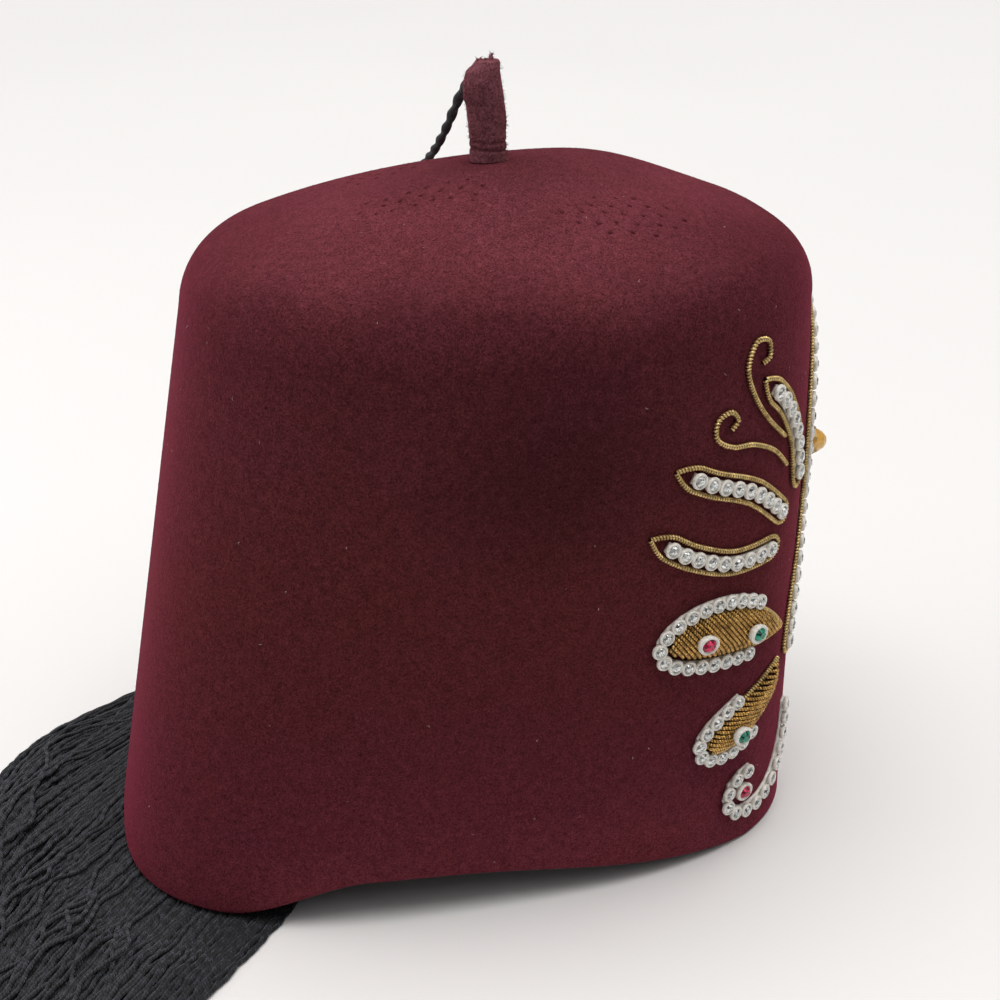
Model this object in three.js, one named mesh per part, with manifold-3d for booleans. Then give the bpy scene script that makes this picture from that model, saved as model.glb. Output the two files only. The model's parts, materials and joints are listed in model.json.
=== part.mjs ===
// A fez hat: a felt crown with a rolled stem, a cord with a tassel, and a stitched ornament on its front.
// Units are millimetres. +Z is up, the front faces -Y and the wearer's right is -X.
import * as THREE from 'three';
import { mergeVertices } from 'three/addons/utils/BufferGeometryUtils.js';
import Module from 'manifold-3d';

const wasm = await Module();
wasm.setup();

const DEGREE = Math.PI / 180;

// Driving dimensions of the crown. Its plan is a squared oval that changes from the rim to the top
const RIM = { halfLength: 104, halfWidth: 70, squareness: 2.9 };
const TOP = { halfLength: 85, halfWidth: 76.8, squareness: 2.3 };
const RIM_CENTRE_Y = 4.5;
const FORWARD_LEAN = 19.3;
const TOP_HEIGHT = 181;
const SHOULDER_RADIUS = 18.9;
const SHOULDER_SWEEP = 66 * DEGREE;
const DOME_RISE = 18.1;
const DOME_POWER = 1.6;
const FELT = 2.5;
const GAP = 0.3;

// The rim's wave: it rides on the fringe at the back, and arches up on the wearer's right
const TUCK = { rise: 3, frontY: -60, backY: 20 };
const ARCH = { height: 14.2, peakY: 36, frontY: -82, backY: 78, frontPower: 1.8 };

// Soft forms of the wall and the top: where each one is, how far it spreads and how far it stands out
const WALL_FORMS = [
  { name: 'front swell', angle: 200, height: 130, spreadAngle: 20, spreadHeight: 45, out: 1.5 },
  { name: 'lower front tuck', angle: 218, height: 20, spreadAngle: 16, spreadHeight: 25, out: -1.4 },
];
const TOP_FORMS = [
  { name: 'far front hump', x: 34, y: -52, spread: 24, rise: 2.6 },
  { name: 'back hollow', x: 10, y: 16, spread: 20, rise: -1.4 },
  { name: 'front hollow', x: -20, y: -34, spread: 14, rise: -0.9 },
];

// Mesh resolution of the crown
const AROUND = 40;
const OUTER = {
  wall: [0, 0.1, 0.26, 0.46, 0.66, 0.84, 1],
  shoulder: [0.25, 0.5, 0.75, 1],
  dome: [0.8, 0.6, 0.38, 0.18],
};
const INNER = { wall: [0, 0.26, 0.62, 1], shoulder: [0.5, 1], dome: [0.6, 0.25] };

// Vent holes: staggered rows inside an oval patch, two patches on each side of the stem
const VENT = { radius: 0.75, sides: 5, rowPitch: 6.2, pitch: 7.4, pinLength: 40 };
const VENT_PATCHES = [
  { x: 35, y: -41, halfX: 10, halfY: 17 },
  { x: 18, y: 13, halfX: 10, halfY: 15 },
];

// Stem: a rolled felt tab. Each row is a section above its base
const STEM = { y: -12.5, halfThickness: 4.2, sides: 12 };
const STEM_SECTIONS = [
  { height: 0, shift: -0.3, halfWidth: 5.2 },
  { height: 10, shift: 0, halfWidth: 5.25 },
  { height: 15, shift: 0.3, halfWidth: 5.2 },
  { height: 20.5, shift: 1.1, halfWidth: 5.3 },
  { height: 23.4, shift: 0.7, halfWidth: 4.7 },
  { height: 26.2, shift: -0.6, halfWidth: 3.3 },
];

// Cord: from the stem's top, over the far shoulder, down the wall and round to the tassel's head
const CORD = { radius: 1.4, sides: 7, steps: 44 };
const CORD_ROUTE = [
  [4.7, -8.8, 217.4], [9, -8.1, 215.2], [17, -7.2, 209.2], [29, -6.5, 200.9], [42, -5.9, 193.2],
  [54, -5.5, 187.4], [64, -5.0, 182.7], [69.2, -4.8, 179.4], [74.0, -4.5, 175.2], [77.6, -4.2, 169.2],
  [79.0, -4.0, 161], [79.3, -3.4, 140], [79.4, -3.0, 110], [79.4, -3.0, 80], [79.6, -3.4, 50],
  [80.2, -4.4, 28], [81.6, -7.2, 14], [85.2, -12, 5.2], [92, -18, 2.2], [103, -25, 1.9],
  [116, -29.5, 1.9], [129, -31, 1.9], [139.5, -27.5, 2.2], [145, -19.5, 3.6], [143.5, -12, 5.6],
  [137.4, -7.2, 7.0], [129.75, -3.81, 7.3],
];

// Tassel head: a bound knot that lies on its side, with the cord at one end and the fringe at the other
const HEAD = { start: [105, 5.8, 7.3], end: [129.2, -3.6, 7.3], sides: 10 };
const HEAD_PROFILE = [
  { along: 0, radius: 5.6 },
  { along: 0.06, radius: 6.6 },
  { along: 0.3, radius: 6.9 },
  { along: 0.42, radius: 5.4 },
  { along: 0.56, radius: 5.4 },
  { along: 0.68, radius: 6.6 },
  { along: 0.88, radius: 5.6 },
  { along: 1, radius: 2.4 },
];

// Fringe: guide strands on the surface, from the head under the back of the rim to the tips
const FRINGE_GUIDES = [
  {
    name: 'near edge',
    points: [[102.9, 2.1], [70, 9], [20, 19], [-29, 37], [-59, 61], [-89, 86], [-113, 106]],
  },
  {
    name: 'near middle',
    points: [[103.9, 4.7], [73, 22], [30, 46], [-15, 76], [-52, 103], [-84, 124], [-107, 140]],
  },
  {
    name: 'far middle',
    points: [[104.9, 7.3], [82, 35], [56, 67], [24, 97], [-12, 123], [-46, 143], [-76, 156]],
  },
  {
    name: 'far edge',
    points: [[105.9, 9.9], [101, 50], [87, 84], [68, 109], [48, 135], [18, 152], [-22, 164]],
  },
];
const FRINGE = { columns: 24, rows: 12 };
const FRINGE_THICKNESS = { head: 12, free: 6, tucked: 2, tip: 2.2, tipFrom: 0.75 };
const FRINGE_LOCKS = { perGuide: 4, depth: 0.34, tipStagger: 0.045 };
const FRINGE_EDGE = { thin: 0.35, slope: 4 };
const HEAD_BLEND = 0.08;
const RIM_CLEARANCE = { near: 20, far: 32 };

// Rhinestones in cups, sewn in rows: pitch along the row, and heights above the felt
const STONE = { pitch: 4.7, half: 2.35, tape: 1.5, girdle: 1.9, table: 2.9, tableScale: 0.55 };
const OCTAGON_SIDE = Math.tan(22.5 * DEGREE);

// Rows of rhinestones, as points of a smooth path: distance from the centre line, height above the surface
const STONE_ROWS = [
  {
    name: 'branch_stones',
    count: 23,
    path: [[45, 60], [42, 74], [36, 87], [31.5, 101], [34.5, 118], [34, 136], [26, 150], [14, 158]],
  },
  { name: 'leaf_stones_low', count: 9, path: [[65, 99], [80, 100], [93, 105], [100.5, 109.5]] },
  { name: 'leaf_stones_middle', count: 9, path: [[61, 109], [74, 119], [88, 125], [94, 128]] },
  { name: 'leaf_stones_top', count: 8, path: [[51, 117], [54, 129], [61, 140], [66.5, 145.3]] },
  {
    name: 'tendril_stones',
    count: 14,
    path: [
      [41.5, 36], [42.5, 26], [49, 16.5], [58, 11.8], [66, 11.5],
      [71.6, 14.2], [73, 19.5], [69.6, 24.6], [65, 25.4],
    ],
  },
];
const MEDALLION = { height: 116, count: 16 };

// Drop-shaped pads of gold bullion: tip and round end on the felt, half width, and the rhinestones round them
const PADS = [
  {
    name: 'large_pad',
    tip: [54, 70],
    end: [99, 80],
    halfWidth: 8.5,
    bend: 3,
    border: { count: 18, from: 0.21 },
  },
  {
    name: 'small_pad',
    tip: [54, 58],
    end: [83, 41],
    halfWidth: 6.8,
    bend: -2,
    border: { count: 11, from: 0.27 },
  },
];
const BUD_PAD = { name: 'bud_pad', tip: [0, 159], end: [0, 134], halfWidth: 7, bend: 0 };
const DROP = { middle: 0.6, taper: 0.8, tipMargin: 0.12 };
const PAD_HEIGHT = 3.6;
const PAD_BASE_RINGS = [0.33, 0.68, 1];
const PAD_BORDER_OFFSET = 2.8;
const PAD_RINGS = [{ scale: 1, height: 0.3 }, { scale: 0.72, height: 0.75 }, { scale: 0.36, height: 0.95 }];
const PAD_SIDES = 12;

// Coloured stones in white oval cups: along a pad from its tip, or straight on the felt
const CUP = { halfLength: 3.3, halfWidth: 2.8, lip: 1.9, inner: 0.7, table: 3.1, tableScale: 0.42 };
const PAD_STONES = [
  { name: 'ruby_outer', pad: 'large_pad', along: 0.8, colour: 'ruby' },
  { name: 'emerald_inner', pad: 'large_pad', along: 0.42, colour: 'emerald' },
  { name: 'emerald_lower', pad: 'small_pad', along: 0.72, colour: 'emerald' },
];
const TENDRIL_STONE = { name: 'ruby_tendril', at: [66, 18.6], colour: 'ruby' };

// Tall amber stone on each side of the boss: radius and height of its rings of facets, and its point's height
const SIDE_AMBER = {
  name: 'side_amber',
  at: [22, 114],
  rings: [[4.6, 0.3], [4.6, 1.6], [3.7, 5.2], [2.1, 7.6]],
  point: 8,
};

// Amber dome at the centre, in a gilt ring
const BOSS = { radius: 7, girdle: 1.6, height: 10.5, sides: 12 };
const BOSS_RING = { inner: 7.3, outer: 8.6, foot: 9.1, height: 4.4 };

const finish = (color, roughness, metalness = 0) =>
  new THREE.MeshStandardMaterial({ color, roughness, metalness, flatShading: true });
const MATERIALS = {
  felt: finish('#6a2d3a', 0.95),
  stemFelt: finish('#4b2a2f', 0.95),
  cord: finish('#141716', 0.85),
  fringe: finish('#2e2e2f', 0.8),
  bullion: finish('#93783f', 0.5, 0.7),
  rhinestone: finish('#e8e6de', 0.25),
  ruby: finish('#b0173a', 0.15),
  emerald: finish('#0f7a55', 0.15),
  amber: finish('#c98a2b', 0.2),
};

const hat = new THREE.Group();

// Adds one named piece, with its triangles turned outwards
function addPiece(name, geometry, material) {
  hat.add(Object.assign(new THREE.Mesh(facingOut(geometry), material), { name }));
}

// Signed volume of a closed geometry, positive when its faces point out
function signedVolume(geometry) {
  const position = geometry.getAttribute('position');
  const corner = [new THREE.Vector3(), new THREE.Vector3(), new THREE.Vector3()];
  let sum = 0;
  for (let i = 0; i < geometry.index.count; i += 3) {
    corner.forEach((point, k) => point.fromBufferAttribute(position, geometry.index.getX(i + k)));
    sum += corner[0].dot(corner[1].clone().cross(corner[2])) / 6;
  }
  return sum;
}

function facingOut(geometry) {
  if (signedVolume(geometry) < 0) {
    const index = geometry.index;
    for (let i = 0; i < index.count; i += 3) {
      const second = index.getX(i + 1);
      index.setX(i + 1, index.getX(i + 2));
      index.setX(i + 2, second);
    }
  }
  geometry.computeVertexNormals();
  return geometry;
}

function fromPoints(points, triangles) {
  const geometry = new THREE.BufferGeometry();
  const coordinates = points.flatMap((point) => point.toArray());
  geometry.setAttribute('position', new THREE.Float32BufferAttribute(coordinates, 3));
  geometry.setIndex(triangles);
  return geometry;
}

// A three.js shape reduced to its merged corner points
function weld(geometry) {
  const bare = geometry.clone();
  bare.deleteAttribute('normal');
  bare.deleteAttribute('uv');
  return mergeVertices(bare, 1e-4);
}

// Closed body through rings of equal length. Each end is a point, a flat fan, or joined to the other end
function loft(rings, { startPoint = null, endPoint = null, joined = false }) {
  const sides = rings[0].length;
  const points = rings.flat();
  const triangles = [];
  const quad = (a, b, c, d) => triangles.push(a, b, c, a, c, d);
  const last = joined ? rings.length : rings.length - 1;
  for (let k = 0; k < last; k += 1) {
    const low = k * sides;
    const high = ((k + 1) % rings.length) * sides;
    for (let j = 0; j < sides; j += 1) {
      const next = (j + 1) % sides;
      quad(low + j, low + next, high + next, high + j);
    }
  }
  const fan = (ring, point, flip) => {
    const centre = points.push(point) - 1;
    for (let j = 0; j < sides; j += 1) {
      const a = ring * sides + j;
      const b = ring * sides + ((j + 1) % sides);
      triangles.push(centre, ...(flip ? [b, a] : [a, b]));
    }
  };
  if (startPoint) fan(0, startPoint, true);
  if (endPoint) fan(rings.length - 1, endPoint, false);
  return fromPoints(points, triangles);
}

const smoothstep = (from, to, value) => THREE.MathUtils.smoothstep(value, from, to);
const mix = THREE.MathUtils.lerp;
const bell = (offset, spread) => Math.exp(-((offset / spread) ** 2));

// Crown surface
function outlineRadius({ halfLength, halfWidth, squareness }, angle) {
  const along = Math.abs(Math.cos(angle) / halfLength) ** squareness;
  const across = Math.abs(Math.sin(angle) / halfWidth) ** squareness;
  return (along + across) ** (-1 / squareness);
}

function wallForm(angle, z) {
  return WALL_FORMS.reduce((sum, form) => {
    const turn = THREE.MathUtils.euclideanModulo(angle / DEGREE - form.angle + 180, 360) - 180;
    return sum + form.out * bell(turn, form.spreadAngle) * bell(z - form.height, form.spreadHeight);
  }, 0);
}

function topForm(x, y) {
  return TOP_FORMS.reduce((sum, form) => {
    const distance = Math.hypot(x - form.x, y - form.y);
    return sum + form.rise * bell(distance, form.spread);
  }, 0);
}

// Point of the plan outline at a height, moved in by inset. Angle 0 is the back, 180 degrees the front
function outlinePoint(angle, z, inset = 0, scale = 1) {
  const t = Math.min(z / TOP_HEIGHT, 1);
  const sizes = {
    halfLength: mix(RIM.halfLength, TOP.halfLength, t) - inset,
    halfWidth: mix(RIM.halfWidth, TOP.halfWidth, t) - inset,
    squareness: mix(RIM.squareness, TOP.squareness, t),
  };
  const radius = (outlineRadius(sizes, angle) + wallForm(angle, z)) * scale;
  const centreY = RIM_CENTRE_Y - FORWARD_LEAN * t;
  return new THREE.Vector3(radius * Math.sin(angle), centreY + radius * Math.cos(angle), z);
}

function rimLift(angle) {
  const y = outlineRadius(RIM, angle) * Math.cos(angle);
  const tuck = TUCK.rise * smoothstep(TUCK.frontY, TUCK.backY, y);
  if (Math.sin(angle) >= 0) return tuck;
  const back = 1 - smoothstep(ARCH.peakY, ARCH.backY, y);
  const front = 1 - (Math.max(ARCH.peakY - y, 0) / (ARCH.peakY - ARCH.frontY)) ** ARCH.frontPower;
  return tuck + (ARCH.height - TUCK.rise) * Math.min(back, Math.max(front, 0));
}

const shoulderBase = TOP_HEIGHT - SHOULDER_RADIUS;

function shoulderPoint(angle, fraction, inset) {
  const radius = SHOULDER_RADIUS - inset;
  const turn = SHOULDER_SWEEP * fraction;
  const point = outlinePoint(angle, shoulderBase, inset + radius * (1 - Math.cos(turn)));
  const lean = FORWARD_LEAN * (radius * Math.sin(turn)) / TOP_HEIGHT;
  point.y -= lean;
  point.z = shoulderBase + radius * Math.sin(turn) + topForm(point.x, point.y) * fraction;
  return point;
}

function domePoint(angle, fraction, inset) {
  const edge = shoulderPoint(angle, 1, inset);
  const centre = domeCentre(inset);
  const x = mix(centre.x, edge.x, fraction);
  const y = mix(centre.y, edge.y, fraction);
  const base = shoulderBase + (SHOULDER_RADIUS - inset) * Math.sin(SHOULDER_SWEEP);
  return new THREE.Vector3(x, y, base + DOME_RISE * (1 - fraction ** DOME_POWER) + topForm(x, y));
}

function domeCentre(inset) {
  const front = shoulderPoint(Math.PI, 1, inset);
  const back = shoulderPoint(0, 1, inset);
  return new THREE.Vector3(0, (front.y + back.y) / 2, 0);
}

function crownRings({ wall, shoulder, dome }, inset) {
  const angles = Array.from({ length: AROUND }, (_, k) => (k / AROUND) * 2 * Math.PI);
  const ring = (place) => angles.map(place);
  return [
    ...wall.map((t) => ring((angle) => outlinePoint(angle, mix(rimLift(angle), shoulderBase, t), inset))),
    ...shoulder.map((t) => ring((angle) => shoulderPoint(angle, t, inset))),
    ...dome.map((t) => ring((angle) => domePoint(angle, t, inset))),
  ];
}

function toManifold(geometry) {
  const welded = weld(geometry);
  return new wasm.Manifold(new wasm.Mesh({
    numProp: 3,
    vertProperties: new Float32Array(welded.getAttribute('position').array),
    triVerts: new Uint32Array(welded.index.array),
  }));
}

function fromManifold(solid) {
  const { vertProperties, triVerts, numProp } = solid.getMesh();
  const points = [];
  for (let i = 0; i < vertProperties.length; i += numProp) {
    points.push(new THREE.Vector3(vertProperties[i], vertProperties[i + 1], vertProperties[i + 2]));
  }
  return fromPoints(points, Array.from(triVerts));
}

// Centres of the vent holes, staggered inside each oval patch and mirrored to the other side
function ventCentres() {
  const centres = [];
  for (const patch of VENT_PATCHES) {
    const rows = Math.floor(patch.halfX / VENT.rowPitch);
    for (let row = -rows; row <= rows; row += 1) {
      const offset = row % 2 === 0 ? 0 : VENT.pitch / 2;
      for (let y = -patch.halfY + offset; y <= patch.halfY; y += VENT.pitch) {
        const inside = ((row * VENT.rowPitch) / patch.halfX) ** 2 + (y / patch.halfY) ** 2 <= 1.02;
        if (inside) {
          const x = patch.x + row * VENT.rowPitch;
          centres.push([-x, patch.y + y], [x, patch.y + y]);
        }
      }
    }
  }
  return centres;
}

function makeCrown() {
  const outer = crownRings(OUTER, 0);
  const inner = crownRings(INNER, FELT);
  const shell = loft([...inner.reverse(), ...outer], {
    startPoint: domePoint(0, 0, FELT),
    endPoint: domePoint(0, 0, 0),
  });
  return fromManifold(ventCentres().reduce((solid, [x, y]) => {
    const pin = new THREE.CylinderGeometry(VENT.radius, VENT.radius, VENT.pinLength, VENT.sides);
    pin.rotateX(90 * DEGREE).translate(x, y, TOP_HEIGHT);
    return solid.subtract(toManifold(pin));
  }, toManifold(facingOut(shell))));
}

function makeStem() {
  const base = domePoint(0, 0, 0).z + GAP;
  const section = ({ height, shift, halfWidth }) => Array.from({ length: STEM.sides }, (_, k) => {
    const turn = (k / STEM.sides) * 2 * Math.PI;
    return new THREE.Vector3(
      STEM.halfThickness * Math.cos(turn),
      STEM.y + shift + halfWidth * Math.sin(turn),
      base + height,
    );
  });
  const rings = STEM_SECTIONS.map(section);
  const cap = (row) => new THREE.Vector3(0, STEM.y + row.shift, base + row.height);
  return loft(rings, { startPoint: cap(STEM_SECTIONS[0]), endPoint: cap(STEM_SECTIONS.at(-1)) });
}

// Cord and tassel
function makeCord() {
  const points = CORD_ROUTE.map((point) => new THREE.Vector3(...point));
  const route = new THREE.CatmullRomCurve3(points, false, 'centripetal');
  const section = new THREE.Shape(Array.from({ length: CORD.sides }, (_, k) => {
    const turn = ((k + 0.5) / CORD.sides) * 2 * Math.PI;
    return new THREE.Vector2(CORD.radius * Math.cos(turn), CORD.radius * Math.sin(turn));
  }));
  const options = { extrudePath: route, steps: CORD.steps, bevelEnabled: false };
  return weld(new THREE.ExtrudeGeometry(section, options));
}

function makeHead() {
  const start = new THREE.Vector3(...HEAD.start);
  const axis = new THREE.Vector3(...HEAD.end).sub(start);
  const length = axis.length();
  const profile = HEAD_PROFILE.map(({ along, radius }) => new THREE.Vector2(radius, along * length));
  const closed = [new THREE.Vector2(0, 0), ...profile, new THREE.Vector2(0, length)];
  const knot = weld(new THREE.LatheGeometry(closed, HEAD.sides));
  const turn = new THREE.Quaternion().setFromUnitVectors(new THREE.Vector3(0, 1, 0), axis.normalize());
  return knot.applyQuaternion(turn).translate(start.x, start.y, start.z);
}

// Distance in plan from the rim's wall, measured along the radius
function distanceFromRim(x, y) {
  const dy = y - RIM_CENTRE_Y;
  const angle = Math.atan2(x, dy);
  return Math.abs(Math.hypot(x, dy) - outlineRadius(RIM, angle) + FELT / 2);
}

function fringePoint(guides, u, v) {
  const place = u * (guides.length - 1);
  const k = Math.min(Math.floor(place), guides.length - 2);
  return guides[k].getPoint(v).lerp(guides[k + 1].getPoint(v), place - k);
}

function makeFringe() {
  const guides = FRINGE_GUIDES.map(({ points }) =>
    new THREE.CatmullRomCurve3(points.map(([x, y]) => new THREE.Vector3(x, y, 0)), false, 'centripetal'));
  const locks = FRINGE_LOCKS.perGuide * (guides.length - 1);
  const top = [];
  const bottom = [];
  for (let row = 0; row <= FRINGE.rows; row += 1) {
    for (let column = 0; column <= FRINGE.columns; column += 1) {
      const u = column / FRINGE.columns;
      const ridge = Math.cos(u * locks * 2 * Math.PI);
      const reach = 1 - FRINGE_LOCKS.tipStagger * (1 - ridge);
      const v = (row / FRINGE.rows) * reach;
      const point = fringePoint(guides, u, v);
      const lock = 1 - FRINGE_LOCKS.depth * (0.5 - ridge / 2);
      const towardsTip = smoothstep(FRINGE_THICKNESS.tipFrom, 1, v);
      const free = mix(FRINGE_THICKNESS.free, FRINGE_THICKNESS.tip, towardsTip);
      const beside = smoothstep(RIM_CLEARANCE.near, RIM_CLEARANCE.far, distanceFromRim(point.x, point.y));
      const spread = mix(FRINGE_THICKNESS.tucked, free * lock, beside);
      const edge = Math.min(1, FRINGE_EDGE.thin + FRINGE_EDGE.slope * Math.min(u, 1 - u));
      const thickness = mix(FRINGE_THICKNESS.head, spread * edge, smoothstep(0, HEAD_BLEND, v));
      bottom.push(point);
      top.push(new THREE.Vector3(point.x, point.y, thickness));
    }
  }
  return slab(top, bottom, FRINGE.columns, FRINGE.rows);
}

// Closed slab between two grids of points of the same size
function slab(top, bottom, columns, rows) {
  const points = [...top, ...bottom];
  const offset = top.length;
  const at = (row, column) => row * (columns + 1) + column;
  const triangles = [];
  const quad = (a, b, c, d) => triangles.push(a, b, c, a, c, d);
  for (let row = 0; row < rows; row += 1) {
    for (let column = 0; column < columns; column += 1) {
      const corners = [at(row, column), at(row, column + 1), at(row + 1, column + 1), at(row + 1, column)];
      quad(...corners);
      quad(...corners.map((corner) => corner + offset).reverse());
    }
    quad(at(row + 1, 0), at(row + 1, 0) + offset, at(row, 0) + offset, at(row, 0));
    quad(at(row, columns), at(row, columns) + offset, at(row + 1, columns) + offset, at(row + 1, columns));
  }
  for (let column = 0; column < columns; column += 1) {
    quad(at(0, column), at(0, column) + offset, at(0, column + 1) + offset, at(0, column + 1));
    quad(at(rows, column + 1), at(rows, column + 1) + offset, at(rows, column) + offset, at(rows, column));
  }
  return fromPoints(points, triangles);
}

// Place on the crown's front: distance round the wall from the centre line, height, and height above the felt
function frontAngle(along, z) {
  const step = 0.5 * DEGREE * Math.sign(along);
  let angle = Math.PI;
  let walked = 0;
  let point = outlinePoint(angle, z);
  while (walked < Math.abs(along)) {
    const next = outlinePoint(angle + step, z);
    const length = next.distanceTo(point);
    const part = Math.min(1, (Math.abs(along) - walked) / length);
    angle += step * part;
    walked += length;
    point = next;
  }
  return angle;
}

function wallNormal(angle, z) {
  const small = 0.02;
  const round = outlinePoint(angle + small, z).sub(outlinePoint(angle - small, z));
  const up = outlinePoint(angle, z + 1).sub(outlinePoint(angle, z - 1));
  return up.cross(round).normalize();
}

function onFront([along, z], height = 0) {
  const angle = frontAngle(along, z);
  return outlinePoint(angle, z).addScaledVector(wallNormal(angle, z), height);
}

function frontNormal([along, z]) {
  return wallNormal(frontAngle(along, z), z);
}

// Row of rhinestones: octagonal cups that share their meeting edges, on one tape
function makeStoneRow(places, closed) {
  const centres = places.map((place) => onFront(place));
  const normals = places.map((place) => frontNormal(place));
  const count = centres.length;
  const at = (k) => (closed ? (k + count) % count : THREE.MathUtils.clamp(k, 0, count - 1));
  const tangents = centres.map((_, k) => centres[at(k + 1)].clone().sub(centres[at(k - 1)]).normalize());
  const sides = centres.map((_, k) => normals[k].clone().cross(tangents[k]).normalize());
  const points = [];
  const triangles = [];
  const put = (centre, normal, height, side, across, tangent = null, forward = 0) => {
    const point = centre.clone().addScaledVector(normal, height).addScaledVector(side, across);
    if (tangent) point.addScaledVector(tangent, forward);
    return points.push(point) - 1;
  };
  // The edge where two cups meet: tape below, girdle above
  const joint = (k) => {
    const before = closed ? at(k - 1) : Math.max(k - 1, 0);
    const after = closed ? at(k) : Math.min(k, count - 1);
    const centre = centres[before].clone().lerp(centres[after], 0.5);
    if (before === after) centre.addScaledVector(tangents[after], Math.sign(k - 0.5) * (STONE.pitch / 2));
    const normal = normals[before].clone().add(normals[after]).normalize();
    const side = sides[before].clone().add(sides[after]).normalize();
    const half = STONE.half * OCTAGON_SIDE;
    return {
      tape: [-1, 1].map((sign) => put(centre, normal, GAP, side, sign * STONE.tape)),
      girdle: [-1, 1].map((sign) => put(centre, normal, STONE.girdle, side, sign * half)),
    };
  };
  const joints = Array.from({ length: closed ? count : count + 1 }, (_, k) => joint(k));
  for (let k = 0; k < count; k += 1) {
    const start = joints[k];
    const end = joints[closed ? (k + 1) % count : k + 1];
    const half = STONE.half * OCTAGON_SIDE;
    const wide = (sign, forward) =>
      put(centres[k], normals[k], STONE.girdle, sides[k], sign * STONE.half, tangents[k], forward * half);
    const [startLow, startHigh] = start.girdle;
    const [endLow, endHigh] = end.girdle;
    const girdle = [startLow, startHigh, wide(1, -1), wide(1, 1), endHigh, endLow, wide(-1, 1), wide(-1, -1)];
    const tableCentre = centres[k].clone().addScaledVector(normals[k], STONE.table);
    const table = girdle.map((corner) => {
      const flat = points[corner].clone().sub(tableCentre).multiplyScalar(STONE.tableScale);
      flat.addScaledVector(normals[k], -flat.dot(normals[k]));
      return points.push(tableCentre.clone().add(flat)) - 1;
    });
    for (let j = 0; j < 8; j += 1) {
      const next = (j + 1) % 8;
      triangles.push(girdle[j], girdle[next], table[next], girdle[j], table[next], table[j]);
      if (j > 0 && j < 7) triangles.push(table[0], table[j], table[next]);
    }
    triangles.push(start.tape[0], end.tape[0], end.tape[1], start.tape[0], end.tape[1], start.tape[1]);
    // The cup's flank, a fan from the tape's first corner
    const flank = (tapeFrom, from, first, second, to, tapeTo) => triangles.push(
      tapeFrom, first, from, tapeFrom, second, first, tapeFrom, to, second, tapeFrom, tapeTo, to,
    );
    flank(start.tape[1], startHigh, girdle[2], girdle[3], endHigh, end.tape[1]);
    flank(end.tape[0], endLow, girdle[6], girdle[7], startLow, start.tape[0]);
  }
  const cap = ({ tape, girdle }, flip) => {
    const ring = [tape[0], tape[1], girdle[1], girdle[0]];
    if (flip) ring.reverse();
    triangles.push(ring[0], ring[1], ring[2], ring[0], ring[2], ring[3]);
  };
  if (!closed) {
    cap(joints[0], false);
    cap(joints[count], true);
  }
  return fromPoints(points, triangles);
}

function spacedPlaces(path, count, mirror) {
  const curve = new THREE.SplineCurve(path.map(([along, z]) => new THREE.Vector2(along, z)));
  return curve.getSpacedPoints(count - 1).map(({ x, y }) => [x * mirror, y]);
}

function ringPlaces({ height, count }) {
  const radius = STONE.pitch / 2 / Math.sin(Math.PI / count);
  return Array.from({ length: count }, (_, k) => {
    const turn = ((k + 0.5) / count) * 2 * Math.PI;
    return [radius * Math.sin(turn), height + radius * Math.cos(turn)];
  });
}

// Drop outline of a pad, grown by a margin. Turn 0 is the tip and half a turn the round end
function dropPlace({ tip, end, halfWidth, bend }, turn, margin = 0, scale = 1) {
  const angle = turn * 2 * Math.PI;
  const start = new THREE.Vector2(...tip);
  const axis = new THREE.Vector2(...end).sub(start);
  const length = axis.length();
  axis.normalize();
  const across = new THREE.Vector2(-axis.y, axis.x);
  const middle = length * DROP.middle;
  const along = (length / 2) * (1 - Math.cos(angle)) - margin * Math.cos(angle);
  const taper = Math.abs(Math.sin(angle / 2)) ** DROP.taper;
  const width = ((halfWidth + margin) * taper + margin * DROP.tipMargin) * Math.sin(angle);
  const x = mix(middle, along, scale);
  const curve = bend * (x / length) * (1 - x / length) * 4;
  const place = start.clone().addScaledVector(axis, x).addScaledVector(across, width * scale + curve);
  return [place.x, place.y];
}

function mirrored([along, z], mirror) {
  return [along * mirror, z];
}

function makePad(pad, mirror) {
  const ring = (scale, height) => Array.from({ length: PAD_SIDES }, (_, k) =>
    onFront(mirrored(dropPlace(pad, k / PAD_SIDES, 0, scale), mirror), height));
  const centre = mirrored(dropPlace(pad, 0, 0, 0), mirror);
  const rings = PAD_RINGS.map(({ scale, height }) => ring(scale, GAP + height * PAD_HEIGHT));
  return loft([...PAD_BASE_RINGS.map((scale) => ring(scale, GAP)), ...rings], {
    startPoint: onFront(centre, GAP),
    endPoint: onFront(centre, GAP + PAD_HEIGHT),
  });
}

function padBorderPlaces(pad, mirror) {
  const { count, from } = pad.border;
  const samples = 80;
  const outline = Array.from({ length: samples + 1 }, (_, k) =>
    dropPlace(pad, mix(from, 1 - from, k / samples), PAD_BORDER_OFFSET));
  return spacedPlaces(outline, count, mirror);
}

// Oval cup with a faceted stone, standing at a height above the felt
function makeCupStone(place, height) {
  const centre = onFront(place);
  const normal = frontNormal(place);
  const up = new THREE.Vector3(0, 0, 1).addScaledVector(normal, -normal.z).normalize();
  const side = normal.clone().cross(up);
  const ring = (scale, rise) => Array.from({ length: 8 }, (_, k) => {
    const turn = ((k + 0.5) / 8) * 2 * Math.PI;
    return centre.clone()
      .addScaledVector(normal, height + rise)
      .addScaledVector(side, CUP.halfLength * scale * Math.cos(turn))
      .addScaledVector(up, CUP.halfWidth * scale * Math.sin(turn));
  });
  const rings = [ring(0.85, 0), ring(1, CUP.lip), ring(CUP.inner, CUP.lip), ring(CUP.tableScale, CUP.table)];
  return loft(rings, {
    startPoint: centre.clone().addScaledVector(normal, height),
    endPoint: centre.clone().addScaledVector(normal, height + CUP.table),
  });
}

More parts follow.
